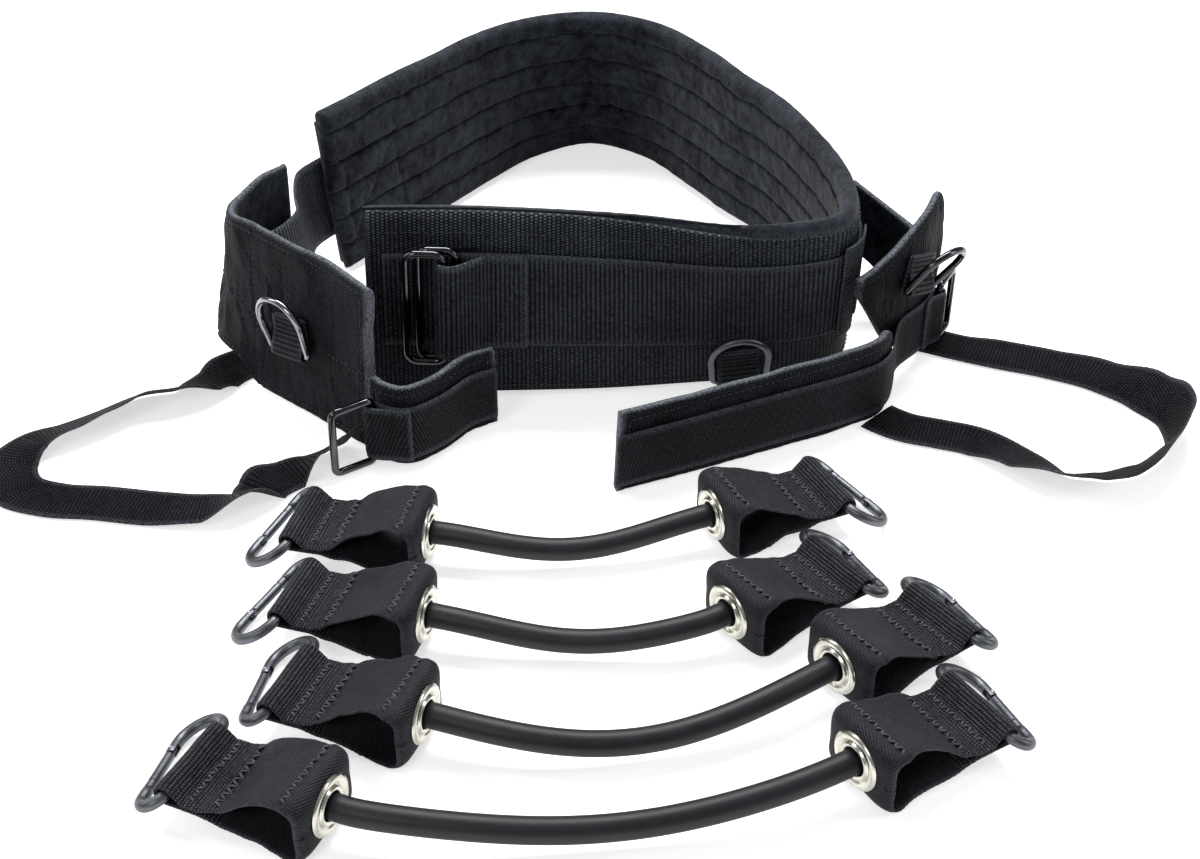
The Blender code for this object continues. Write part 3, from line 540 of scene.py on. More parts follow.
class Look:
    """A Principled material under construction."""

    def __init__(self, name, roughness, metallic=0.0, sheen=0.0, specular=0.5):
        self.made = bpy.data.materials.new(name)
        self.made.use_nodes = True
        self.tree = self.made.node_tree
        self.inputs = self.tree.nodes["Principled BSDF"].inputs
        for socket, value in (("Roughness", roughness), ("Metallic", metallic),
                              ("Sheen Weight", sheen), ("Sheen Roughness", 0.4),
                              ("Specular IOR Level", specular)):
            self.inputs[socket].default_value = value

    # The mesh's mask of edges painted lighter: wear, with a painted highlight along the edges
    def wear_and_edge_light(self):
        node = add_node(self.tree, "Attribute")
        node.attribute_name = "wear_and_edge_light"
        return Value(node.outputs["Fac"])

    def uv(self):
        node = add_node(self.tree, "UVMap")
        node.uv_map = "UVMap"
        split = add_node(self.tree, "SeparateXYZ", Vector=node.outputs[0])
        return Value(split.outputs[0]), Value(split.outputs[1])

    def cells(self, a, b):
        """Noise over two coordinates of a pattern, such as its row and its place in the row."""
        joined = add_node(self.tree, "CombineXYZ", X=a, Y=b)
        return Value(add_node(self.tree, "TexNoise", Scale=1.0, Detail=1.0,
                              Vector=joined.outputs[0]).outputs["Fac"])

    def noise(self, scale, detail=2.0, roughness=0.5):
        where = add_node(self.tree, "TexCoord").outputs["Object"]
        return Value(add_node(self.tree, "TexNoise", Scale=scale, Detail=detail,
                              Roughness=roughness, Vector=where).outputs["Fac"])

    def colour(self, factor, low, high, rubbed_and_lit=None, light=None):
        """Colour between low and high; the mask given third says where the lighter edge colour
        shows, as wear with a painted edge highlight.
        """
        last = (*low, 1.0)
        for share, tint in [(factor, high)] + ([(rubbed_and_lit, light)] if rubbed_and_lit else []):
            node = add_node(self.tree, "Mix")
            node.data_type = "RGBA"
            for i, value in ((6, last), (7, (*tint, 1.0)), (0, share)):
                put(node.inputs[i], value)
            last = node.outputs[2]
        put(self.inputs["Base Color"], last)

    def rough(self, value):
        put(self.inputs["Roughness"], value)

    def bump(self, height, depth):
        node = add_node(self.tree, "Bump", Strength=1.0, Distance=depth, Height=height)
        put(self.inputs["Normal"], node.outputs[0])


# Lighter colour of the edges: lint from wear, with a painted highlight along the edges
EDGE_LINT_AND_LIGHT = (0.105, 0.115, 0.138)


def webbing(name, pitch, dot, dots, low, high, depth, sheen=0.0, specular=0.12, fuzz=0.0,
            glint=1.0, slant=0.0, lint_and_light=EDGE_LINT_AND_LIGHT):
    """Ribbed webbing: ribs across it, each made of small floats of yarn. Its colour paints shade
    into the grooves between ribs and a highlight on the rib tops.
    """
    look = Look(name, 0.50, sheen=sheen, specular=specular)
    u, v = look.uv()
    waver = look.noise(130.0, 2.0)
    place = u * (1.0 / pitch) + waver * 0.25
    if slant:
        place = place + v * (slant / pitch)
    row = place.op("FLOOR")
    rib = (place * math.pi).op("SINE").op("ABSOLUTE").op("POWER", 0.9)
    yarn = (v * (2 * math.pi / dot) + row * math.pi).op("SINE") * 0.5 + 0.5
    nub = look.cells(row * 3.7, (v * (1.0 / dot)).op("FLOOR") * 2.9)
    blotch = look.noise(42.0, 4.0)
    fine = look.noise(700.0, 3.0, 0.7)
    height = rib * (yarn * dots + (1.0 - dots))
    # Painted shade and highlight: the colour falls to low in the grooves and rises towards high on
    # the rib tops, with random tone
    tone = height.op("POWER", 1.5) * (blotch * 1.3 + fine * glint + nub * 1.5
                                      + (-0.85 - glint * 0.35))
    # Patchy lighter edges and cut ends: wear, with a painted highlight along the edges
    edge = (look.wear_and_edge_light() * (fine * 2.4 + -0.55)).clamp()
    look.colour(tone.clamp(), low, high, edge, lint_and_light)
    look.rough((height * -0.25 + fine * 0.1 + 0.70).clamp())
    look.bump(height * (nub * 0.6 + 0.7) + fine * fuzz, depth)
    return look.made


def felted(name, low, high, depth):
    """Brushed felt: mottled, with short fibres."""
    look = Look(name, 0.93, sheen=0.15, specular=0.08)
    mottle = look.noise(170.0, 5.0, 0.65)
    blotch = look.noise(38.0, 3.0)
    fibre = look.noise(900.0, 3.0, 0.7)
    tone = mottle * 2.1 + blotch * 1.3 + fibre * 0.9 + -1.70
    # Its rolled edges painted lighter: wear, with a painted highlight
    look.colour(tone.clamp(), low, high, (look.wear_and_edge_light() * (fibre * 1.8 + -0.55)).clamp(), EDGE_LINT_AND_LIGHT)
    look.bump(mottle * 0.7 + fibre * 0.35, depth)
    return look.made


def plain(name, low, high, roughness, metallic=0.0, scale=90.0, spread_by=0.12, depth=0.0,
          specular=0.5):
    """Metal, rubber or thread with uneven tone and roughness."""
    look = Look(name, roughness, metallic, specular=specular)
    cloud = look.noise(scale, 4.0)
    fine = look.noise(scale * 14, 2.0)
    look.colour((cloud * 1.4 + -0.2).clamp(), low, high)
    look.rough((cloud * spread_by + fine * (spread_by / 2)
                + (roughness - spread_by * 0.7)).clamp())
    if depth:
        look.bump(fine, depth)
    return look.made


# Painted shade: the near-black colour of the grooves between ribs
GROOVE_SHADE = (0.0004, 0.0005, 0.0008)
COVER = webbing("cover_weave", 0.0021, 0.00125, 0.80, GROOVE_SHADE, (0.165, 0.190, 0.240), 0.0011,
                specular=0.11)
STRAP = webbing("strap_weave", 0.0022, 0.0012, 0.40, GROOVE_SHADE, (0.088, 0.100, 0.125), 0.0011,
                specular=0.11)
OVERLAY = webbing("overlay_weave", 0.0014, 0.0013, 0.60, GROOVE_SHADE, (0.036, 0.040, 0.050), 0.0006,
                  fuzz=0.4, slant=0.3, specular=0.10)
TAPE = webbing("tape_weave", 0.0017, 0.0015, 0.90, GROOVE_SHADE, (0.046, 0.050, 0.060), 0.0007,
               specular=0.08)
TAB = webbing("tab_weave", 0.0024, 0.0012, 0.25, GROOVE_SHADE, (0.034, 0.038, 0.047), 0.0012, sheen=0.03)
TWILL = webbing("sleeve_weave", 0.0010, 0.0010, 0.40, (0.0075, 0.0080, 0.0098),
                (0.042, 0.045, 0.054), 0.0002, sheen=0.03, fuzz=1.2, glint=2.0, slant=0.45)
SEWN = webbing("sewn_weave", 0.00145, 0.0012, 0.55, (0.0010, 0.0011, 0.0014),
               (0.096, 0.102, 0.120), 0.0009, sheen=0.03, fuzz=0.5, glint=1.6)
# Its lighter edge colour: a frayed trim, with a painted highlight along the edges
CANVAS = webbing("cuff_weave", 0.00135, 0.0011, 0.60, (0.0010, 0.0011, 0.0015),
                 (0.040, 0.045, 0.056), 0.0006, fuzz=0.7, glint=1.6, slant=0.25, specular=0.08,
                 lint_and_light=(0.200, 0.215, 0.250))
FELT = felted("brushed_felt", (0.0010, 0.0013, 0.0022), (0.034, 0.040, 0.053), 0.0012)
THREAD = plain("sewing_thread", (0.008, 0.009, 0.011), (0.050, 0.054, 0.066), 0.5, scale=700.0,
               specular=0.3)
HEAVY_THREAD = plain("heavy_thread", (0.010, 0.011, 0.013), (0.120, 0.128, 0.150), 0.6,
                     scale=420.0, specular=0.2)
# Painted shade: a near-black colour for the thin patch inside the buckle rings, where shade falls
BUCKLE_SHADE = plain("painted_buckle_shade", (0.0006, 0.0007, 0.0010), (0.0060, 0.0066, 0.0085), 0.8,
                scale=240.0, depth=0.0002, specular=0.08)
STEEL = plain("gloss_black_steel", (0.042, 0.043, 0.047), (0.090, 0.092, 0.100), 0.13, 1.0)
# A brighter copy of the D-ring metal for the left harness's ring, painting the stronger light and
# reflections on that ring
DARK_CHROME_LIT_COPY = plain("dark_chrome_lit_copy", (0.16, 0.165, 0.18), (0.32, 0.325, 0.35), 0.15, 1.0)
GUNMETAL = plain("worn_gunmetal", (0.078, 0.083, 0.094), (0.165, 0.172, 0.190), 0.42, 1.0,
                 scale=120.0, spread_by=0.2, depth=0.00003)
PIN = plain("worn_pin", (0.25, 0.25, 0.26), (0.55, 0.55, 0.56), 0.28, 1.0, scale=300.0)
NICKEL = plain("bright_nickel", (0.42, 0.405, 0.345), (0.72, 0.705, 0.640), 0.25, 1.0,
               spread_by=0.08)
RUBBER = plain("satin_rubber", (0.0022, 0.0028, 0.0040), (0.0085, 0.0106, 0.0150), 0.50,
               scale=160.0, spread_by=0.14, depth=0.00004, specular=0.42)


# ---------------------------------------------------------------- waist belt
def leaning(x, y, dx, dy):
    """The top edge's point where the belt leans by (dx, dy)."""
    rise = math.sqrt(BELT_HEIGHT ** 2 - mm(dx, dy).length_squared)
    return mm(x + dx, y + dy) + Vector((0, 0, BELT_BASE + rise))


belt = Wall([mm(x, y) + Vector((0, 0, BELT_BASE)) for x, y in BELT_PATH],
            [leaning(*low, *lean) for low, lean in zip(BELT_PATH, BELT_LEAN)], blur=4)
back_seam = belt.run[BELT_BACK * SPAN]
cover_low = PAD_FACE + CLEAR
cover_face = cover_low + COVER_THICK
strap_level = cover_face + CLEAR + STRAP_THICK / 2
strap_upper = strap_level + STRAP_THICK + CLEAR
PAD_SEAMS = (0.0885, 0.069, 0.052, 0.035, 0.0175)       # heights of the channels
# Upright seams at the belt's back: (run from its middle, depth)
BACK_SEAMS = ((0.0, 0.0021), (0.0042, 0.0014), (-0.0150, 0.0008), (0.0190, 0.0007))
BOX_CENTRE = (0.030, 0.045)     # from the belt's far end and its bottom edge
BOX_HALF = (0.021, 0.024)
LINING_LEVELS = sorted(set(spread(0.0045, 0.0915, 42))
                       | {seam + d for seam in PAD_SEAMS for d in
                          (-0.0017, -0.0010, -0.0005, 0.0, 0.0005, 0.0010, 0.0017)}, reverse=True)


def boxed(s, h):
    """Distance to the crossed box of stitches where the tail strap is sewn on."""
    x, y = s - (belt.length - BOX_CENTRE[0]), h - BOX_CENTRE[1]
    half_x, half_y = BOX_HALF
    if abs(x) > half_x + 0.003 or abs(y) > half_y + 0.003:
        return 1.0
    frame_gap = min(abs(abs(x) - half_x), abs(abs(y) - half_y))
    cross = abs(abs(x) * half_y - abs(y) * half_x) / math.hypot(half_x, half_y)
    return min(frame_gap, cross)


def lining(h, s):
    """How far the lining stands off the wall's middle at the level h."""
    wander = (0.0011 + 0.0010 * ease((h - 0.08) / 0.008)) * rough((s, h * 0.5, 0.0), 0.013, 17.0)
    nearest = min(abs(h + wander - seam) for seam in PAD_SEAMS)
    crown = min(nearest / 0.0045, 1.0)
    depth = 0.0046 + 0.0006 * crown ** 0.5 - 0.0012 * bell(nearest, 0.0008)
    for at, deep in BACK_SEAMS:
        depth -= deep * bell(s - back_seam - at, 0.0014)
    depth -= 0.0012 * bell(boxed(s, h), 0.0010)
    near = bell(s - back_seam - 0.014, 0.012)
    depth += 0.0009 * near * rough((s * 0.7, h * 2.2, 0.0), 0.008, 8.0)
    pucker = rough((s, h * 1.4, 0.0), 0.012, 3.0) + 0.7 * rough((s, h, 0.0), 0.0055, 9.0)
    pinch = rough((s * 2.4, h * 0.6, 0.0), 0.006, 6.0) * (1.0 - crown)
    return depth + 0.00055 * pucker * (0.5 + 0.5 * crown) + 0.0006 * pinch


def bound(s):
    """0 where the cover reaches the top edge, 1 where the lining's roll shows above it."""
    return ease((s - 0.09) / 0.16)


def tuck(s, h):
    """How far the cover is drawn in over the thin top edge near the front end."""
    return 0.0026 * (1.0 - bound(s)) * ease((h - 0.091) / 0.009)


def pad_ring(s, low, up, out):
    """The pad's outline: flat outside, a rolled top edge and the quilted lining inside."""
    end = min(s, belt.length - s)
    full = 1.0 - 0.5 * max(0.0, 1.0 - end / 0.004) ** 2
    sway = (0.0007 + 0.0012 * ease((s - 0.30) / 0.1)) * rough((s, 0.0, 0.0), 0.05, 5.0)
    lip = 0.0009 * bound(s)
    shape = [(0.0008, PAD_FACE * 0.55), (0.003, PAD_FACE * 0.97), (0.05, PAD_FACE),
             (0.0925, PAD_FACE), (0.0945, PAD_FACE + lip), (0.0972, PAD_FACE - 0.0003 + lip),
             (0.0990, 0.0018 + lip), (0.0999, 0.0004), (0.0998, -0.0018), (0.0984, -0.0036),
             (0.0960, -0.0047), (0.0935, -0.0046)]
    shape += [(h, -lining(h, s)) for h in LINING_LEVELS]
    shape += [(0.0022, -0.0031), (0.0006, -0.0016), (0.0002, 0.0002)]
    dent = 0.0030 * math.exp(-(belt.length - s) / 0.012)
    ring = []
    for h, o in shape:
        fuzz = 0.00025 * rough((s, h * 3, o), 0.004, 2.0)
        lift = sway if h > 0.06 else 0.0
        o += -tuck(s, h) if o > 0 else 0.0028 * (1.0 - bound(s)) * ease((h - 0.085) / 0.012)
        ring.append(low + up * (h + lift * ease((h - 0.06) / 0.04))
                    + out * ((o + fuzz) * full)
                    + up.cross(out) * (dent * math.sin(math.pi * h / BELT_HEIGHT) ** 2))
    return ring


rings = [pad_ring(*f) for f in belt.frames]
flat = lengths(rings[50])
# The felt's rolled top edge is painted lighter: wear, with a painted highlight
edge_wear_light = [0.0] * 4 + [0.9, 0.5, 0.2, 0.1, 0.3, 0.3, 0.1, 0.0] + [0.0] * (len(flat) - 12)
pad = finish_piece("belt_padding", grid_mesh(rings, [f[0] for f in belt.frames], flat, wear_and_edge_light=edge_wear_light),
                   "belt", FELT, "belt_pad", slot="felt_lining")


def cover_levels(top):
    return [0.0022] + spread(0.003, top - 0.0006, 24) + [top]


def cover_rows(s, low, up, out):
    """The cover's outer and inner points across it at one frame of the belt."""
    ripple = 0.0003 * rough((s, 0.0, 0.0), 0.03, 7.0)
    top = 0.0992 - 0.0059 * bound(s) + 0.0005 * rough((s, 0.1, 0.0), 0.02, 4.0)
    levels = cover_levels(top)
    outer, inner = [], []
    for h in levels:
        thick = COVER_THICK * (0.35 if h in (levels[0], levels[-1]) else 1.0)
        base = cover_low - tuck(s, h)
        outer.append(low + up * h + out * (base + thick + ripple))
        inner.append(low + up * h + out * base)
    return outer, inner


cover_frames = [f for f in belt.frames if 0.0012 < f[0] < belt.length - 0.0012]
# Its bottom and top edges are painted lighter: wear, with a painted edge highlight
mesh = sheet_mesh([cover_rows(*f) for f in cover_frames], [f[0] for f in cover_frames],
                  cover_levels(0.0938), [0.8] + [0.0] * 24 + [1.0], ends=0.0015)
cover = finish_piece("belt_woven_cover", mesh, "belt", COVER, "belt_cover")

buckle_run = belt.find_x(BUCKLE_X)
doubled_end = belt.find_x(BUCKLE_DOUBLED)
strap_end = belt.find_x(0.118) + 0.030
buckle_roll = BUCKLE_CHANNEL + STRAP_THICK / 2
strap_low = STRAP_MIDDLE - STRAP_WIDTH / 2
strap_high = strap_low + STRAP_WIDTH


def level_line(start, stop, level, step=0.0016):
    """A straight side view from one run to another."""
    return dense([Vector((start, level)), Vector((stop, level))], step)


path = [Vector((strap_end, strap_level)), Vector((buckle_run + 0.004, strap_level))]
path += roll(buckle_run, strap_level, buckle_roll, BUCKLE_REACH, strap_upper, 1, 22)
path = dense(path + [Vector((doubled_end, strap_upper))], 0.0022)[::-1]
woven("belt_front_strap", "belt", STRAP, belt.lay, path, STRAP_WIDTH, STRAP_THICK, strap_low,
      "folded", ["belt_woven_cover"], "belt_strap", across=13, rib=0.00012)

PANEL_THICK = 0.0012
panel_level = cover_face + CLEAR + PANEL_THICK / 2
woven("belt_anchor_webbing", "belt", COVER, belt.lay,
      level_line(0.0085, buckle_run - 0.0055, panel_level), STRAP_WIDTH - 0.001, PANEL_THICK,
      strap_low + 0.0005, "laid", ["belt_woven_cover"], across=15, rib=0.0001)

# Painted shade: a thin near-black patch on the cover inside the buckle rings, standing in for the
# shade of the rings and the strap's roll
BUCKLE_SHADE_SPAN = (-0.0052, 0.0120)     # run from the buckle's axis
woven("belt_buckle_shade_patch", "belt", BUCKLE_SHADE, belt.lay,
      level_line(*[buckle_run + x for x in BUCKLE_SHADE_SPAN], cover_face + 0.00015), STRAP_WIDTH + 0.004,
      0.0002, strap_low - 0.002, "laid", ["belt_woven_cover"],
      flat=(BUCKLE_SHADE_SPAN[1] - BUCKLE_SHADE_SPAN[0], STRAP_WIDTH + 0.004), across=15)

keeper_level = strap_level + (STRAP_THICK + 0.0013) / 2 + CLEAR
keeper_run = belt.find_x(0.1095)


def flap(name, run, width, low_edge, high_edge, flare, bow):
    """A short upright piece of webbing over the strap; its top end flares and bows outwards."""
    def where(p, edge):
        low, up, out = belt.smooth(run + edge)
        t = (p.x - low_edge) / (high_edge - low_edge)
        away = flare * ease((t - 0.55) / 0.45) + bow * math.sin(math.pi * t) * 0.3
        return low + up * p.x + out * (p.y + away * (0.4 + 0.6 * edge / width))

    woven(name, "belt", STRAP, where, level_line(low_edge, high_edge, keeper_level), width,
          PANEL_THICK, 0.0, "laid", ["belt_front_strap"], flat=(width, high_edge - low_edge),
          rib=0.0001)


flap("belt_keeper_webbing", keeper_run, 0.0105, strap_low - 0.004, strap_high + 0.006, 0.0006, 0.0)
flap("belt_keeper_end", keeper_run + 0.0125, 0.012, strap_low + 0.002, strap_high + 0.003,
     0.0006, 0.0006)

seams = []
inner, outer = strap_low + 0.0035, strap_high - 0.0035


def seam_on_belt(level, start, stop, pitch=0.0030, jitter=0.0):
    """Stitches along a drawn line between two (run, height) points on the belt."""
    seam = []
    for p in dense([Vector(start), Vector(stop)], 0.003):
        wob = jitter * rough((p.x, p.y, level), 0.008, 13.0)
        low, up, out = belt.smooth(p.x)
        seam.append((low + up * (p.y + wob) + out * level, out))
    stitch_row(seams, seam, pitch, pitch * 0.72, 0.00034)


face = strap_upper + STRAP_THICK / 2
left, right = buckle_run + BUCKLE_REACH + 0.003, doubled_end - 0.0022
for line in (((right, inner), (right, outer)), ((left, inner), (left, outer)),
             ((left + 0.002, inner), (left + 0.002, outer)), ((left, inner), (right, inner)),
             ((left, outer), (right, outer)), ((right, outer), (left, inner))):
    seam_on_belt(face, *line, jitter=0.0005)
for at in (keeper_run + 0.0018, keeper_run + 0.0088):
    seam_on_belt(keeper_level + 0.0006, (at, strap_low), (at, outer + 0.004))
left, right = 0.0115, buckle_run - 0.0110
for line in (((left, inner), (left, outer)), ((left + 0.0022, inner), (left + 0.0022, outer)),
             ((left, outer), (right, outer)), ((left, inner), (right, inner)),
             ((left, inner), (right, outer)), ((left, outer), (right, inner))):
    seam_on_belt(panel_level + PANEL_THICK / 2, *line, jitter=0.0005)
face = strap_level + STRAP_THICK / 2
for at in (strap_end - 0.003, strap_end - 0.0055):
    seam_on_belt(face, (at, inner), (at, outer))
for h in (strap_low + 0.0016, strap_high - 0.0016):
    seam_on_belt(face, (doubled_end + 0.002, h), (strap_end - 0.003, h))
for h in (0.0062, 0.0895):
    seam_on_belt(cover_face + 0.0001, (0.006, h), (belt.length - 0.006, h), 0.0036)
seam = []
for k, h in enumerate(spread(inner, outer, 25)):
    low, up, out = belt.smooth(0.0062 + 0.0016 * (k % 2))
    seam.append((low + up * h + out * (cover_face + 0.0003), out))
zigzag(seams, seam, 0.00036)
stitches("belt_seams", seams, "belt")

sewn = [f[0] for f in belt.frames if f[0] > belt.length - 0.045][::6]
sewn += [belt.length - 0.006, belt.length + 0.004]
tail = Wall([belt.at(s, TAIL_RISE, strap_level) for s in sewn] + [mm(*p) for p in TAIL_PATH],
            [belt.at(s, TAIL_RISE + STRAP_WIDTH, strap_level) for s in sewn]
            + [mm(*p) + mm(*TAIL_LEAN) for p in TAIL_PATH], 0.0018, 2)
levels = spread(0.0, STRAP_WIDTH, 13)
sides = []
for s, low, up, out in tail.frames:
    rows = [], []
    for h in levels:
        half = STRAP_THICK / 2 * (EDGE_THIN if h in (levels[0], levels[-1]) else 1.0)
        sag = 0.0005 * rough((s, h, 0.0), 0.03, 11.0)
        rows[0].append(low + up * h + out * (half + sag))
        rows[1].append(low + up * h - out * (half - sag))
    sides.append(rows)
# Both its edges are painted lighter: wear, with a painted edge highlight
mesh = sheet_mesh(sides, [f[0] for f in tail.frames], levels, [1.0] + [0.0] * 11 + [1.0],
                  ends=0.001)
tail_piece = finish_piece("belt_tail_webbing", mesh, "belt", STRAP, "belt_tail_strap")


# ---------------------------------------------------------------- rings
def rounded(size, corner, per_corner=8):
    """The wire's line of a rectangular ring, whose bar lies on the Y axis."""
    width, height = size[0] - 2 * RING_WIRE, size[1] - 2 * RING_WIRE
    points = []
    for x, y, start in ((-corner, 1, 0), (corner - width, 1, 90),
                        (corner - width, -1, 180), (-corner, -1, 270)):
        points += arc((x, y * (height / 2 - corner)), corner, start, start + 90, per_corner)
    return points


def flat_ring(name, outline, matrix, body, node, material=STEEL):
    points = [p.to_3d() for p in dense(outline, 0.003)]
    mesh = wire_mesh(points, RING_WIRE, True, 20)
    finish_piece(name, mesh, body, material, node, matrix, "black_steel")


buckle_axis = belt.at(buckle_run, STRAP_MIDDLE, strap_level + buckle_roll)
buckle_turn = belt.frame(buckle_run)[1:]
for label, side in (("front", -1), ("rear", 1)):
    shift = Matrix.Translation((side * BUCKLE_STACK, 0.0, -side * (RING_WIRE + CLEAR)))
    flat_ring("buckle_wire_" + label, rounded(BUCKLE_SIZE, BUCKLE_CORNER),
              axes(buckle_axis, *buckle_turn) @ shift, "buckle_rings", "buckle_ring_" + label)


def d_ring(name, body, wall, s, h, face, turn, tilt, material):
    """A D-ring and the folded tab that holds its bar on a wall."""
    low, along, up, out = wall.frame(s, h)
    turn_radius = RING_WIRE + CLEAR + TAB_THICK / 2
    base = low + up * h + out * (face + 2 * CLEAR + TAB_THICK / 2 + turn_radius)
    spin = Matrix.Rotation(math.radians(turn), 3, out)
    along, up = spin @ along, spin @ up
    outline = [Vector((x, 0.0)) for x in (-0.0035, 0.0035)]
    outline += arc((D_BAR_HALF - D_CORNER, D_CORNER), D_CORNER, -90, 0, 8)
    outline += arc((0.0, D_SHOULDER), D_RADIUS, 0, 180, 36)
    outline += arc((D_CORNER - D_BAR_HALF, D_CORNER), D_CORNER, 180, 270, 8)
    tilted = axes(base, along, up, out) @ Matrix.Rotation(math.radians(tilt), 4, "X")
    flat_ring(name + "_wire", outline, tilted, name, name, material)
    upper = TAB_THICK + CLEAR - turn_radius
    path = [Vector((TAB_LENGTH, -turn_radius))]
    path += roll(0.0, -turn_radius, turn_radius, TAB_LENGTH * 0.55, upper, 1, 22)
    path = dense(path + [Vector((TAB_LENGTH, upper))], 0.0015)

    def where(p, edge):
        return base + along * edge + up * p.x + out * p.y

    woven(name + "_webbing", body, TAB, where, path, TAB_WIDTH, TAB_THICK, -TAB_WIDTH / 2,
          "folded", (), name + "_tab", rib=0.0001)


for name, s in (("belt_d_ring", belt.find_x(0.0634)), ("belt_d_ring_far", belt.length - 0.150)):
    d_ring(name, "belt", belt, s, 0.0075, cover_face, 0, 5, GUNMETAL)


# ---------------------------------------------------------------- foot harnesses
HEM = 0.0042        # from a long edge to its top-stitching
END_HEM = 0.0040


def padded_sheet(name, wall, node, body, seed, creases=(), pressed=()):
    """A felt-lined band: canvas outside, soft inside, with rolled and top-stitched edges.

    creases are sewn lines, each (run, None) or (None, height). Under the (s0, s1, h0, h1)
    areas in pressed something is sewn on, so no wrinkle stands up.
    """
    steps = max(34, round(wall.height(wall.length / 2) / 0.0017))
    shape = [(0.0, 0.0002), (0.006, 0.0013), (0.02, 0.0020)]
    shape += [(t, CUFF_FACE) for t in spread(0.035, 0.965, steps)]
    shape += [(0.98, 0.0020), (0.992, 0.0013), (1.0, 0.0002), (0.997, -0.0012), (0.982, -0.0022)]
    shape += [(t, -CUFF_BACK) for t in spread(0.96, 0.04, 26)]
    shape += [(0.02, -0.0022), (0.004, -0.0012)]
    rings = []
    for s, low, up, out in wall.frames:
        full = wall.height(s)
        end = min(s, wall.length - s)
        ring = []
        for t, o in shape:
            h = t * full
            inset = min(t, 1 - t) * full
            soft = ease(inset / 0.008)
            puff = 0.0011 * rough((s * 1.3, h, 0.0), 0.019, seed)
            puff += 0.0005 * rough((s * 1.6, h * 0.7, 0.0), 0.007, seed + 2.0)
            puff += 0.0012 * (0.25 - abs(rough((s * 2.6, h * 0.5, 0.0), 0.012, seed + 8.0))) \
                * (1.3 - t)
            for s0, s1, h0, h1 in pressed:
                puff = min(puff, max(s0 - s, s - s1, h0 - h, h - h1, 0.0) * 0.3)
            if o > 0:
                o -= 0.00055 * bell(inset - HEM, 0.0008) + 0.00045 * bell(end - END_HEM, 0.0008)
                fold = rough((s * 1.4, h * 0.6, 0.0), 0.021, seed + 11.0)
                o -= 0.00070 * soft * bell(fold, 0.045)
                for at, level in creases:
                    o -= 0.00050 * bell(s - at if level is None else h - level, 0.0008)
            wander = 0.0005 * rough((s, 0.0, 1.0 if t > 0.5 else 0.0), 0.014, seed + 5.0)
            ring.append(low + up * (h + wander * (1.0 - soft))
                        + out * (o + puff * (0.3 + 0.7 * soft)))
        rings.append(ring)
    middle = wall.height(wall.length / 2)
    # The rolled edges are painted lighter, the top one most: wear, with a painted highlight
    edge_wear_light = [0.4, 0.1, 0.0] + [0.0] * steps + [0.0, 0.3, 1.0, 0.9, 0.3] + [0.0] * 28
    mesh = grid_mesh(rings, [f[0] for f in wall.frames], [t * middle for t, _ in shape],
                     wear_and_edge_light=edge_wear_light, ends=0.0022)
    made = finish_piece(name, mesh, body, CANVAS, node, slot="felt_lining")
    mesh.materials.append(FELT)
    first_back, count = steps + 7, len(shape)
    for face in mesh.polygons:
        if all(v % count >= first_back or v % count == 0 for v in face.vertices):
            face.material_index = 1

    parts = []

    def row(stations, sunk):
        """Stitches over ((foot, up, out), height) stations, sunk into the canvas."""
        stitch_row(parts, [(low + up * h + out * (CUFF_FACE - sunk), out)
                           for (low, up, out), h in stations])

    hems = [(f[1:], wall.height(f[0])) for f in wall.frames[3:-3:2]]
    row([(f, full - HEM) for f, full in hems], 0.00045)
    row([(f, HEM) for f, _ in hems], 0.00045)
    for at, level in (*creases, (END_HEM, None), (wall.length - END_HEM, None)):
        if at is None:
            row([(f, level) for f, _ in hems], 0.0004)
        else:
            row([(wall.smooth(at), h) for h in spread(0.005, wall.height(at) - 0.005, 14)],
                0.0004)
    stitches(name + "_seams", parts, body)


def overlay(name, body, band, rise, root):
    """Webbing on the band whose end rolls round the loop ring; returns the ring's centre and axis.

    root goes on from the band along the cuff. Without it the roll is at the band's start.
    """
    level = CUFF_FACE + CLEAR + OVERLAY_THICK / 2
    radius = RING_WIRE + CLEAR + OVERLAY_THICK / 2
    if root:
        front = [f[0] for f in band.frames if 0.002 < f[0] < band.length - 0.003][::4]
        low = [band.at(s, rise, level) for s in front] + [mm(*p) for p in root]
        high = [band.at(s, rise + OVERLAY_WIDTH, level) for s in front]
        high += [mm(*p) + Vector((0, 0, OVERLAY_WIDTH)) for p in root]
        wall, side = Wall(low, high, 0.0016, 3, 4), -1
        hinge = wall.length - 0.003
        ends = (-0.0050, hinge - 0.005)
        rise = level = 0.0
    else:
        wall, side, hinge = band, 1, 0.008
        ends = (band.length - 0.0005, hinge + 0.004)
    upper = level + OVERLAY_THICK + CLEAR
    path = [Vector((x, level)) for x in ends]
    path += roll(hinge, level, radius, 0.008, upper, side, 20)
    path = dense(path + [Vector((hinge + side * 0.014, upper))], 0.0016)[::-side]
    woven(name + "overlay_webbing", body, OVERLAY, wall.lay, path, OVERLAY_WIDTH, OVERLAY_THICK,
          rise, "folded", [name + "band_shell"], name + "band_overlay")
    return wall.at(hinge, rise + OVERLAY_WIDTH / 2, level + radius), wall.frame(hinge)[2]


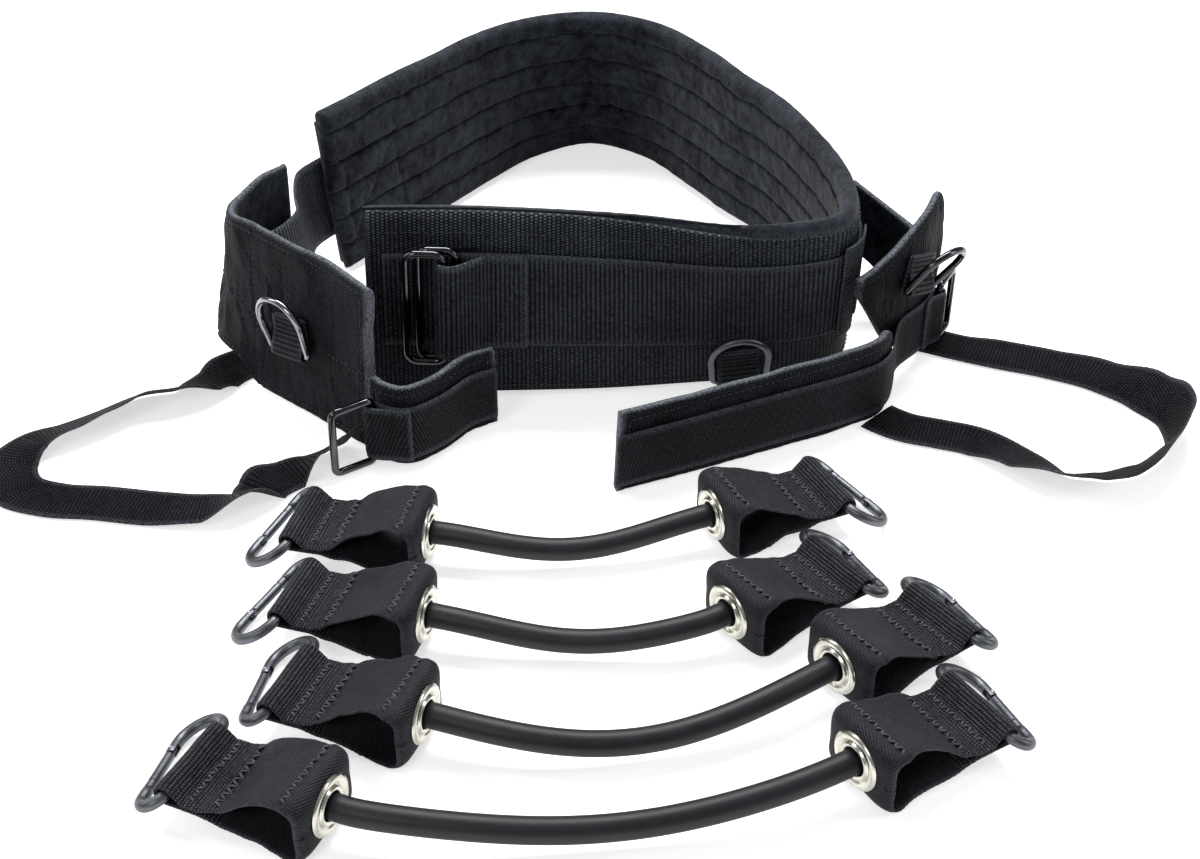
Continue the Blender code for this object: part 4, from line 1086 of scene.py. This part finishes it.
def stirrup(name, body, points):
    """The thin loop on the floor, which rolls about its line as it goes."""
    rolls = [angle for _, _, angle in points]
    line = spline([mm(x, y) for x, y, _ in points], 24)
    twist = []
    for a, b in zip(rolls, rolls[1:]):
        twist += [a + (b - a) * ease(t) for t in spread(0.0, 1.0, 25)[:-1]]
    twist.append(rolls[-1])
    run = lengths(line)
    sides = []
    levels = spread(-1.0, 1.0, 9)
    for i, point in enumerate(line):
        along = line[min(i + 1, len(line) - 1)] - line[max(i - 1, 0)]
        across = Vector((-along.y, along.x, 0.0)).normalized()
        angle = math.radians(twist[i])
        wide = across * math.cos(angle) + Vector((0, 0, math.sin(angle)))
        thin = wide.cross(along).normalized() * (STIRRUP_THICK / 2)
        wide = wide * (STIRRUP_WIDTH / 2)
        middle = point + Vector((0, 0, abs(wide.z) + abs(thin.z) + 0.0001))
        tooth = 1.0 + 0.008 * math.sin(2 * math.pi * run[i] / 0.0017)
        rows = [], []
        for t in levels:
            edge, reach = (0.4, tooth) if abs(t) == 1.0 else (1.0, 1.0)
            spot = middle + wide * (t * reach)
            rows[0].append(spot + thin * edge)
            rows[1].append(spot - thin * edge)
        sides.append(rows)
    # Both edges painted lighter: wear, with a painted edge highlight
    mesh = sheet_mesh(sides, run, [t * STIRRUP_WIDTH / 2 for t in levels],
                      [0.7] + [0.0] * 7 + [0.7])
    made = finish_piece(name + "stirrup_webbing", mesh, body, TAPE, name + "stirrup")


def harness(side, data, creases, pressed, ring_metal):
    body = "harness_" + side
    name = body + "_"
    cuff, band = [Wall(*[[mm(*p) for p in line] for line in data[key]])
                  for key in ("cuff", "band")]
    s, h, turn, tilt = data["d_ring"]
    pressed = [(s - 0.015, s + 0.015, h - 0.006, h + 0.021)] + pressed
    padded_sheet(name + "cuff_shell", cuff, name + "cuff", body, 21.0, creases, pressed)
    d_ring(name + "d_ring", body, cuff, s, h, CUFF_FACE, turn, tilt, ring_metal)
    padded_sheet(name + "band_shell", band, name + "foot_band", body, 33.0,
                 pressed=[(0.0, band.length, 0.003, 0.0055 + OVERLAY_WIDTH)])
    axis, up = overlay(name, body, band, *data["overlay"])
    angle = math.radians(data["loop"])
    outward = Vector((math.cos(angle), math.sin(angle), 0))
    outward = (outward - up * outward.dot(up)).normalized()
    outline = [Vector((-p.x, p.y)) for p in rounded(LOOP_SIZE, LOOP_CORNER)]
    flat_ring(name + "loop_wire", outline, axes(axis, outward, up, outward.cross(up)),
              name + "loop_ring", name + "loop_ring")
    stirrup(name, body, data["stirrup"])


# The two D-rings are one part; the left one's brighter metal paints the stronger light on it
harness("left", LEFT, ((0.088, None), (None, 0.040)), [], DARK_CHROME_LIT_COPY)
harness("right", RIGHT, ((0.018, None),), [(0.015, 0.085, 0.0, 0.038)], STEEL)


# ---------------------------------------------------------------- resistance bands
def sleeve_line():
    """Side view of the sleeve's webbing: x outwards from its face, y up."""
    turn_radius = HOOK_CHANNEL + SLEEVE_THICK / 2
    lower = SLEEVE_RISE - turn_radius
    upper = lower + SLEEVE_THICK + CLEAR
    path = roll(SLEEVE_PIVOT, lower, turn_radius, SLEEVE_PIVOT - STITCHED[1], upper, -1, 20)
    path += [Vector((STITCHED[0], upper))]
    top = [(STITCHED[0] * 1000, upper * 1000), (37, 12.6), (27, 17.8), (14, 23.6), (6, 26.2),
           (2.8, 26.3), (0.9, 24), (0.8, 14), (0.8, 4.5), (1.9, 1.9), (4.5, 0.8), (12.5, 0.8),
           (22, 3.2), (STITCHED[0] * 1000, lower * 1000)]
    path += [p.to_2d() for p in spline([mm(*p) for p in top], 8)[1:]]
    return dense(path + [Vector((STITCHED[1], lower))], 0.0014)


def turn_about(centre, start, end, side, count):
    """An arc from start to end; side says which way round."""
    first = math.atan2(start.y - centre.y, start.x - centre.x)
    last = math.atan2(end.y - centre.y, end.x - centre.x)
    while (last - first) * side < 0:
        last += side * 2 * math.pi
    return arc(centre, (start - centre).length, math.degrees(first), math.degrees(last), count)


def hook_outline(side):
    """Circle centres and tangent points of a hook in its own plane."""
    wide = Vector((HOOK_WIDE, side * HOOK_CENTRES / 2))
    narrow = Vector((HOOK_NARROW, -side * HOOK_CENTRES / 2))
    along = (narrow - wide).normalized()
    lean = math.acos((HOOK_WIDE - HOOK_NARROW) / (narrow - wide).length)
    far = Matrix.Rotation(side * lean, 2) @ along
    return wide, narrow, wide + far * HOOK_WIDE, narrow + far * HOOK_NARROW


def cut(mesh, tool):
    """The mesh with the tool's space cut out."""
    target, other = [bpy.data.objects.new("carved", m) for m in (mesh, tool)]
    step = target.modifiers.new("step", "BOOLEAN")
    step.object, step.operation, step.solver = other, "DIFFERENCE", "EXACT"
    for item in (target, other):
        bpy.context.scene.collection.objects.link(item)
    bpy.context.view_layer.update()
    graph = bpy.context.evaluated_depsgraph_get()
    result = bpy.data.meshes.new_from_object(target.evaluated_get(graph))
    for item in (target, other):
        bpy.data.objects.remove(item)
    result.set_sharp_from_angle(angle=math.radians(40))
    return result


def turned(profile, sides=24):
    """A mesh from (place on X, half width, half thickness) sections."""
    rings = [[Vector((x, w * math.cos(a), t * math.sin(a))) for a in circle(sides)]
             for x, w, t in profile]
    return grid_mesh(rings, [x for x, _, _ in profile], [0.0005 * k for k in range(sides)])


def domed_pin():
    """The rivet through the fork, along Z, with domed ends."""
    radius, half, dome, sides = 0.0010, HOOK_WIRE - 0.0001, 0.00045, 24
    profile = [(0.02, 1.0), (0.55, 0.8), (0.9, 0.35), (1.0, 0.0)]
    rings = []
    for sign in (-1, 1):
        for r, high in profile[::-sign]:
            z = sign * (half + dome * high)
            rings.append([Vector((radius * r * math.cos(t), radius * r * math.sin(t), z))
                          for t in circle(sides)])
    return grid_mesh(rings, [0.001 * i for i in range(len(rings))],
                     [0.0005 * k for k in range(sides)])


def block(size):
    mesh = bpy.data.meshes.new("block")
    work = bmesh.new()
    bmesh.ops.create_cube(work, size=1.0, matrix=Matrix.Diagonal((*size, 1.0)))
    work.to_mesh(mesh)
    work.free()
    return mesh


def hook(prefix, side_name, matrix, side):
    """A snap hook with its forked end, sprung gate and riveted pin."""
    wide, narrow, wide_far, narrow_far = hook_outline(side)
    straight = narrow_far - wide_far
    pivot, nose = [wide_far + straight * share for share in GATE_SPAN]
    toward = straight.normalized()
    line = [nose.lerp(narrow_far, t) for t in (0.0, 0.08, 0.5, 1.0)]
    line += turn_about(narrow, narrow_far, Vector((0.0, narrow.y)), -side, 24)[1:]
    line += turn_about(wide, Vector((0.0, wide.y)), wide_far, -side, 32)
    line += [wide_far.lerp(pivot + toward * FORK_END, t) for t in (0.3, 0.6, 0.9, 1.0)]
    thick = [0.88] + [1.0] * (len(line) - 2) + [0.90]
    bar = wire_mesh([p.to_3d() for p in line], HOOK_WIRE, sides=24, thick=thick)
    at_pivot = Matrix.Translation(pivot.to_3d()) @ Matrix.Rotation(
        math.atan2(toward.y, toward.x), 4, "Z")
    slot = block((FORK_LENGTH, 3 * HOOK_WIRE, FORK_SLOT))
    slot.transform(at_pivot @ Matrix.Translation((FORK_LENGTH / 2 - FORK_HEEL, 0.0, 0.0)))
    body, gate_body = prefix + "hook_" + side_name, prefix + "gate_" + side_name
    finish_piece(prefix + "carabiner_" + side_name, cut(bar, slot), body, GUNMETAL, body,
                 matrix, METAL)

    end = (nose - pivot).length - CLEAR
    half, waist, tip = GATE_TONGUE / 2, GATE_WIRE - 0.0003, GATE_WIRE - 0.0004
    gate = turned([(-0.0018, 0.0005, half), (-0.0014, 0.0013, half), (-0.0006, 0.0018, half),
                   (0.0021, 0.0018, half), (0.0024, 0.0019, half + 0.0004)]
                  + [(x, r, r) for x, r in (
                      (GATE_NECK, GATE_WIRE), (GATE_NECK + 0.0004, GATE_WIRE),
                      (end - 0.0046, GATE_WIRE), (end - 0.0043, waist), (end - 0.0037, waist),
                      (end - 0.0034, GATE_WIRE), (end - 0.0004, GATE_WIRE), (end, tip))])
    gate.set_sharp_from_angle(angle=math.radians(40))
    finish_piece(prefix + "snap_gate_" + side_name, gate, gate_body, GUNMETAL, gate_body,
                 matrix @ at_pivot, METAL)
    finish_piece(prefix + "gate_pin_" + side_name, domed_pin(), gate_body, PIN, None,
                 matrix @ at_pivot, METAL)


SEAMS = ((0.0475, 0.0032), (0.0365, 0.0034), (0.0082, 0.0030))     # place and width
EYELET = [(0.0054, 0.0002), (0.0055, 0.0010), (0.0060, 0.0016), (0.0067, 0.0018),
          (0.0073, 0.0014), (0.0076, 0.0007), (0.0080, 0.0005), (0.0084, 0.0007),
          (0.0088, 0.0013), (0.0097, 0.0016), (0.0107, 0.0014), (0.01145, 0.0009),
          (0.01175, 0.0003), (0.0064, 0.0003), (0.0064, -0.0019), (0.0090, -0.0019),
          (0.0090, -0.0028), (0.0054, -0.0028)]     # radius and height


def on_sleeve(p, edge, seed):
    """A point of the sleeve, worn soft: it sags, waves and draws in at its seams."""
    x, y = p
    level = SLEEVE_AXIS + (SLEEVE_RISE - SLEEVE_AXIS) * ease((x - 0.010) / 0.03)
    free = ease((x - 0.002) / 0.012) * (1.0 - ease((x - 0.033) / 0.010))
    across = edge / (SLEEVE_WIDTH / 2)
    side = 1.0 if y > level else -1.0
    sag = (0.0016 * across * across - 0.0009) * free * (1.0 if side > 0 else 0.3)
    wave = rough((x, edge * 0.8, 0.2 * side), 0.016, seed) * (0.0016 + 0.0014 * across ** 2)
    wave += rough((x, edge, 0.2 * side), 0.007, seed + 4.0) * 0.0006
    shoulder = max(1.0 - abs(x - 0.003) / 0.012, 0.0) * (1.0 if side > 0 else 0.0)
    lift = sag * side + wave * free - 0.0030 * shoulder * across ** 4
    if side > 0:
        for at, _ in SEAMS:
            lift -= bell(x - at, 0.0020) * (0.00040 - 0.00050 * math.sin(edge * math.pi / 0.0021))
    waist = 1.0 - 0.06 * math.sin(math.pi * min(max((x - 0.006) / 0.036, 0.0), 1.0))
    waist += 0.012 * rough((x, seed, 0.0), 0.012, 1.0)
    if y < 0.002:
        lift = max(lift, 0.0)
    back = 0.0026 * abs(across) ** 7 * (1.0 - ease(x / 0.014))
    return Vector((x + back + 0.0003 * rough((edge, y, 0.0), 0.01, seed), edge * waist, y + lift))


def band_end(body, side, data, seed):
    """A sleeve with its seams, eyelet and hook; returns where its face stands."""
    x, y, degrees, wide_sign, slide = data
    prefix = body + "_"
    place = Matrix.Translation(mm(x, y)) @ Matrix.Rotation(math.radians(degrees), 4, "Z")

    def where(p, edge):
        return on_sleeve(p, edge, seed)

    line = sleeve_line()
    # Its edges are painted a little lighter: wear, with a painted edge highlight
    mesh = ribbon(where, line, SLEEVE_WIDTH, SLEEVE_THICK, -SLEEVE_WIDTH / 2, True, 37, 0.00012,
                  0.45)
    for face in mesh.polygons:
        face.material_index = int(face.center.x > SEAMS[1][0] - 0.0015)
    made = finish_piece(prefix + "webbing_" + side, mesh, body, TWILL, prefix + "sleeve_" + side,
                        place)
    mesh.materials.append(SEWN)
    lengths(line)[-1] + (line[0] - line[-1]).length

    parts = []
    upper = [i for i, p in enumerate(line) if p.y > SLEEVE_RISE - HOOK_CHANNEL]
    for at, width in SEAMS:
        seam = []
        for k in range(17):
            want = at + width * ((k % 2) - 0.5) + 0.0005 * rough((k, at, 0.0), 0.7, seed)
            i = min(upper, key=lambda n: abs(line[n].x - want))
            step = line[(i + 1) % len(line)] - line[i - 1]
            normal = Vector((-step.y, 0.0, step.x)).normalized()
            normal = -normal if normal.z < 0 else normal
            edge = (0.5 - k / 16) * (SLEEVE_WIDTH - 0.0050)
            edge += 0.0004 * rough((at, k, 0.0), 0.7, seed)
            seam.append((where(Vector((want, line[i].y)), edge) + normal * (SLEEVE_THICK / 2),
                         normal))
        zigzag(parts, seam, 0.00055)
    stitches(prefix + "seams_" + side, parts, body, place, HEAVY_THREAD)

    rings = [[Vector((r * math.cos(t), r * math.sin(t), z)) for r, z in EYELET]
             for t in circle(64)]
    ring = grid_mesh(rings, [0.075 * i / 64 for i in range(64)],
                     lengths([Vector(p) for p in EYELET]), True)
    ring.set_sharp_from_angle(angle=math.radians(SHARP))
    face = place @ Matrix.Translation((0.0, 0.0, SLEEVE_AXIS)) @ Matrix.Rotation(
        -math.pi / 2, 4, "Y")
    finish_piece(prefix + "eyelet_" + side, ring, body, NICKEL, prefix + "grommet_" + side, face,
                 "nickel")

    droop = math.asin((SLEEVE_RISE - HOOK_WIRE - 0.0002) / (2 * HOOK_WIDE))
    hinge = place @ Matrix.Translation((SLEEVE_PIVOT, slide * 0.001, SLEEVE_RISE))
    hook(prefix, side, hinge @ Matrix.Rotation(droop, 4, "Y"), wide_sign)
    return place


TUBE_INSIDE = 0.0040        # how far the tube reaches in behind the sleeve's face
STOPPER_RADIUS = 0.0070
# Its sections: (place behind the face, thickness as a share of its radius)
STOPPER = ((0.0045, 0.86), (0.0049, 0.96), (0.0060, 1.0), (0.0096, 1.0), (0.0107, 0.95),
           (0.0111, 0.80))


def tube(body, left, right, bows):
    """The rubber tube between two sleeves, with its stoppers."""
    ends = [(place.translation, (place @ Vector((1, 0, 0)) - place.translation).normalized())
            for place in (left, right)]
    (a, a_out), (b, b_out) = ends
    start, stop = a - a_out * TUBE_LEAD, b - b_out * TUBE_LEAD
    near, far = start - a_out * bows[0], stop - b_out * bows[1]
    flat = []
    for t in spread(0.0, 1.0, 60):
        u = 1 - t
        flat.append(start * u ** 3 + near * 3 * u * u * t + far * 3 * u * t * t + stop * t ** 3)
    flat = resample(flat, 60)
    up = Vector((0, 0, SLEEVE_AXIS))
    points = [a + a_out * TUBE_INSIDE + up]
    run = lengths(flat)
    for point, s in zip(flat, run):
        lift = 0.5 * (1 + math.cos(2 * math.pi * s / run[-1]))
        points.append(point + Vector((0, 0, TUBE_LOW + (SLEEVE_AXIS - TUBE_LOW) * lift)))
    points.append(b + b_out * TUBE_INSIDE + up)
    for side, (base, along) in zip(("left", "right"), ends):
        mesh = wire_mesh([base + up + along * x for x, _ in STOPPER], STOPPER_RADIUS, sides=32,
                         thick=[share for _, share in STOPPER])
        mesh.set_sharp_from_angle(angle=math.radians(SHARP))
        finish_piece(body + "_stopper_" + side, mesh, body, RUBBER,
                                  slot="band_rubber")
    made = finish_piece(body + "_rubber", wire_mesh(points, TUBE_RADIUS, sides=32), body, RUBBER,
                        body + "_tube", slot="band_rubber")
    route = [p - CENTRE for p in points]
    tuple(route[0])
    lengths(route)[-1]
    [tuple(p) for p in route]


for index, (left_end, right_end, bows) in enumerate(BANDS):
    name = "band_" + str(index + 1)
    seed = 14.7 + 7.4 * index
    places = [band_end(name, side, end, seed + more) for side, end, more in
              (("left", left_end, 0.0), ("right", right_end, 3.7))]
    tube(name, *places, bows)


# ---------------------------------------------------------------- floor, light and camera
FLOOR_GLOW = 0.62       # how bright the floor shines to the camera and in reflections
SKY_LIGHT = 0.26        # how strongly the white world lights the scene
WHITE = (1.0, 1.0, 1.0, 1.0)
scene = bpy.context.scene
ground = bpy.data.meshes.new("ground")
ground.from_pydata([(x, y, -0.0006) for x, y in ((-6, -4), (6, -4), (6, 9), (-6, 9))], [],
                   [(0, 1, 2, 3)])
floor = bpy.data.objects.new("ground", ground)
scene.collection.objects.link(floor)
pale = bpy.data.materials.new("pale_floor")
pale.use_nodes = True
shader = pale.node_tree.nodes["Principled BSDF"].inputs
ray = add_node(pale.node_tree, "LightPath").outputs
glow = Value(ray["Is Camera Ray"]).op("MAXIMUM", Value(ray["Is Glossy Ray"])) * FLOOR_GLOW
for socket, value in (("Base Color", (0.86, 0.86, 0.86, 1.0)), ("Roughness", 0.9),
                      ("Specular IOR Level", 0.1), ("Emission Color", WHITE),
                      ("Emission Strength", glow)):
    put(shader[socket], value)
ground.materials.append(pale)

scene.world = scene.world or bpy.data.worlds.new("studio")
scene.world.use_nodes = True
sky = scene.world.node_tree
backdrop = sky.nodes["Background"].inputs
ray = add_node(sky, "LightPath").outputs["Is Camera Ray"]
put(backdrop[0], WHITE)
put(backdrop[1], add_node(sky, "MapRange", Value=ray, To_Min=SKY_LIGHT, To_Max=1.0).outputs[0])

for name, place, target, size, power in (
        ("top_box", (0.0, 0.42, 1.05), (0.0, 0.0, 0.0), (0.9, 0.32), 17.0),
        ("front_box", (-0.6, -1.1, 0.9), (0.0, 0.0, 0.05), (0.5, 0.4), 4.0),
        ("side_box", (1.1, -0.2, 0.6), (0.0, 0.0, 0.05), (0.3, 0.6), 3.0),
        ("left_box", (-1.0, 0.1, 0.75), (0.0, 0.0, 0.03), (0.25, 0.7), 4.0)):
    light = bpy.data.lights.new(name, "AREA")
    light.shape = "RECTANGLE"
    light.size, light.size_y = size
    light.energy = power
    lamp = bpy.data.objects.new(name, light)
    lamp.location = place
    lamp.rotation_euler = (Vector(target) - Vector(place)).to_track_quat("-Z", "Y").to_euler()
    scene.collection.objects.link(lamp)

eye = bpy.data.cameras.new("camera")
eye.sensor_width = 36.0
eye.lens = 51.57
eye.clip_start = 0.01
camera = bpy.data.objects.new("camera", eye)
camera.location = Vector((0.0, -0.700, 0.457)) - CENTRE
camera.rotation_euler = (math.radians(56.0), 0.0, 0.0)
scene.collection.objects.link(camera)
scene.camera = camera
scene.view_settings.view_transform = "Standard"
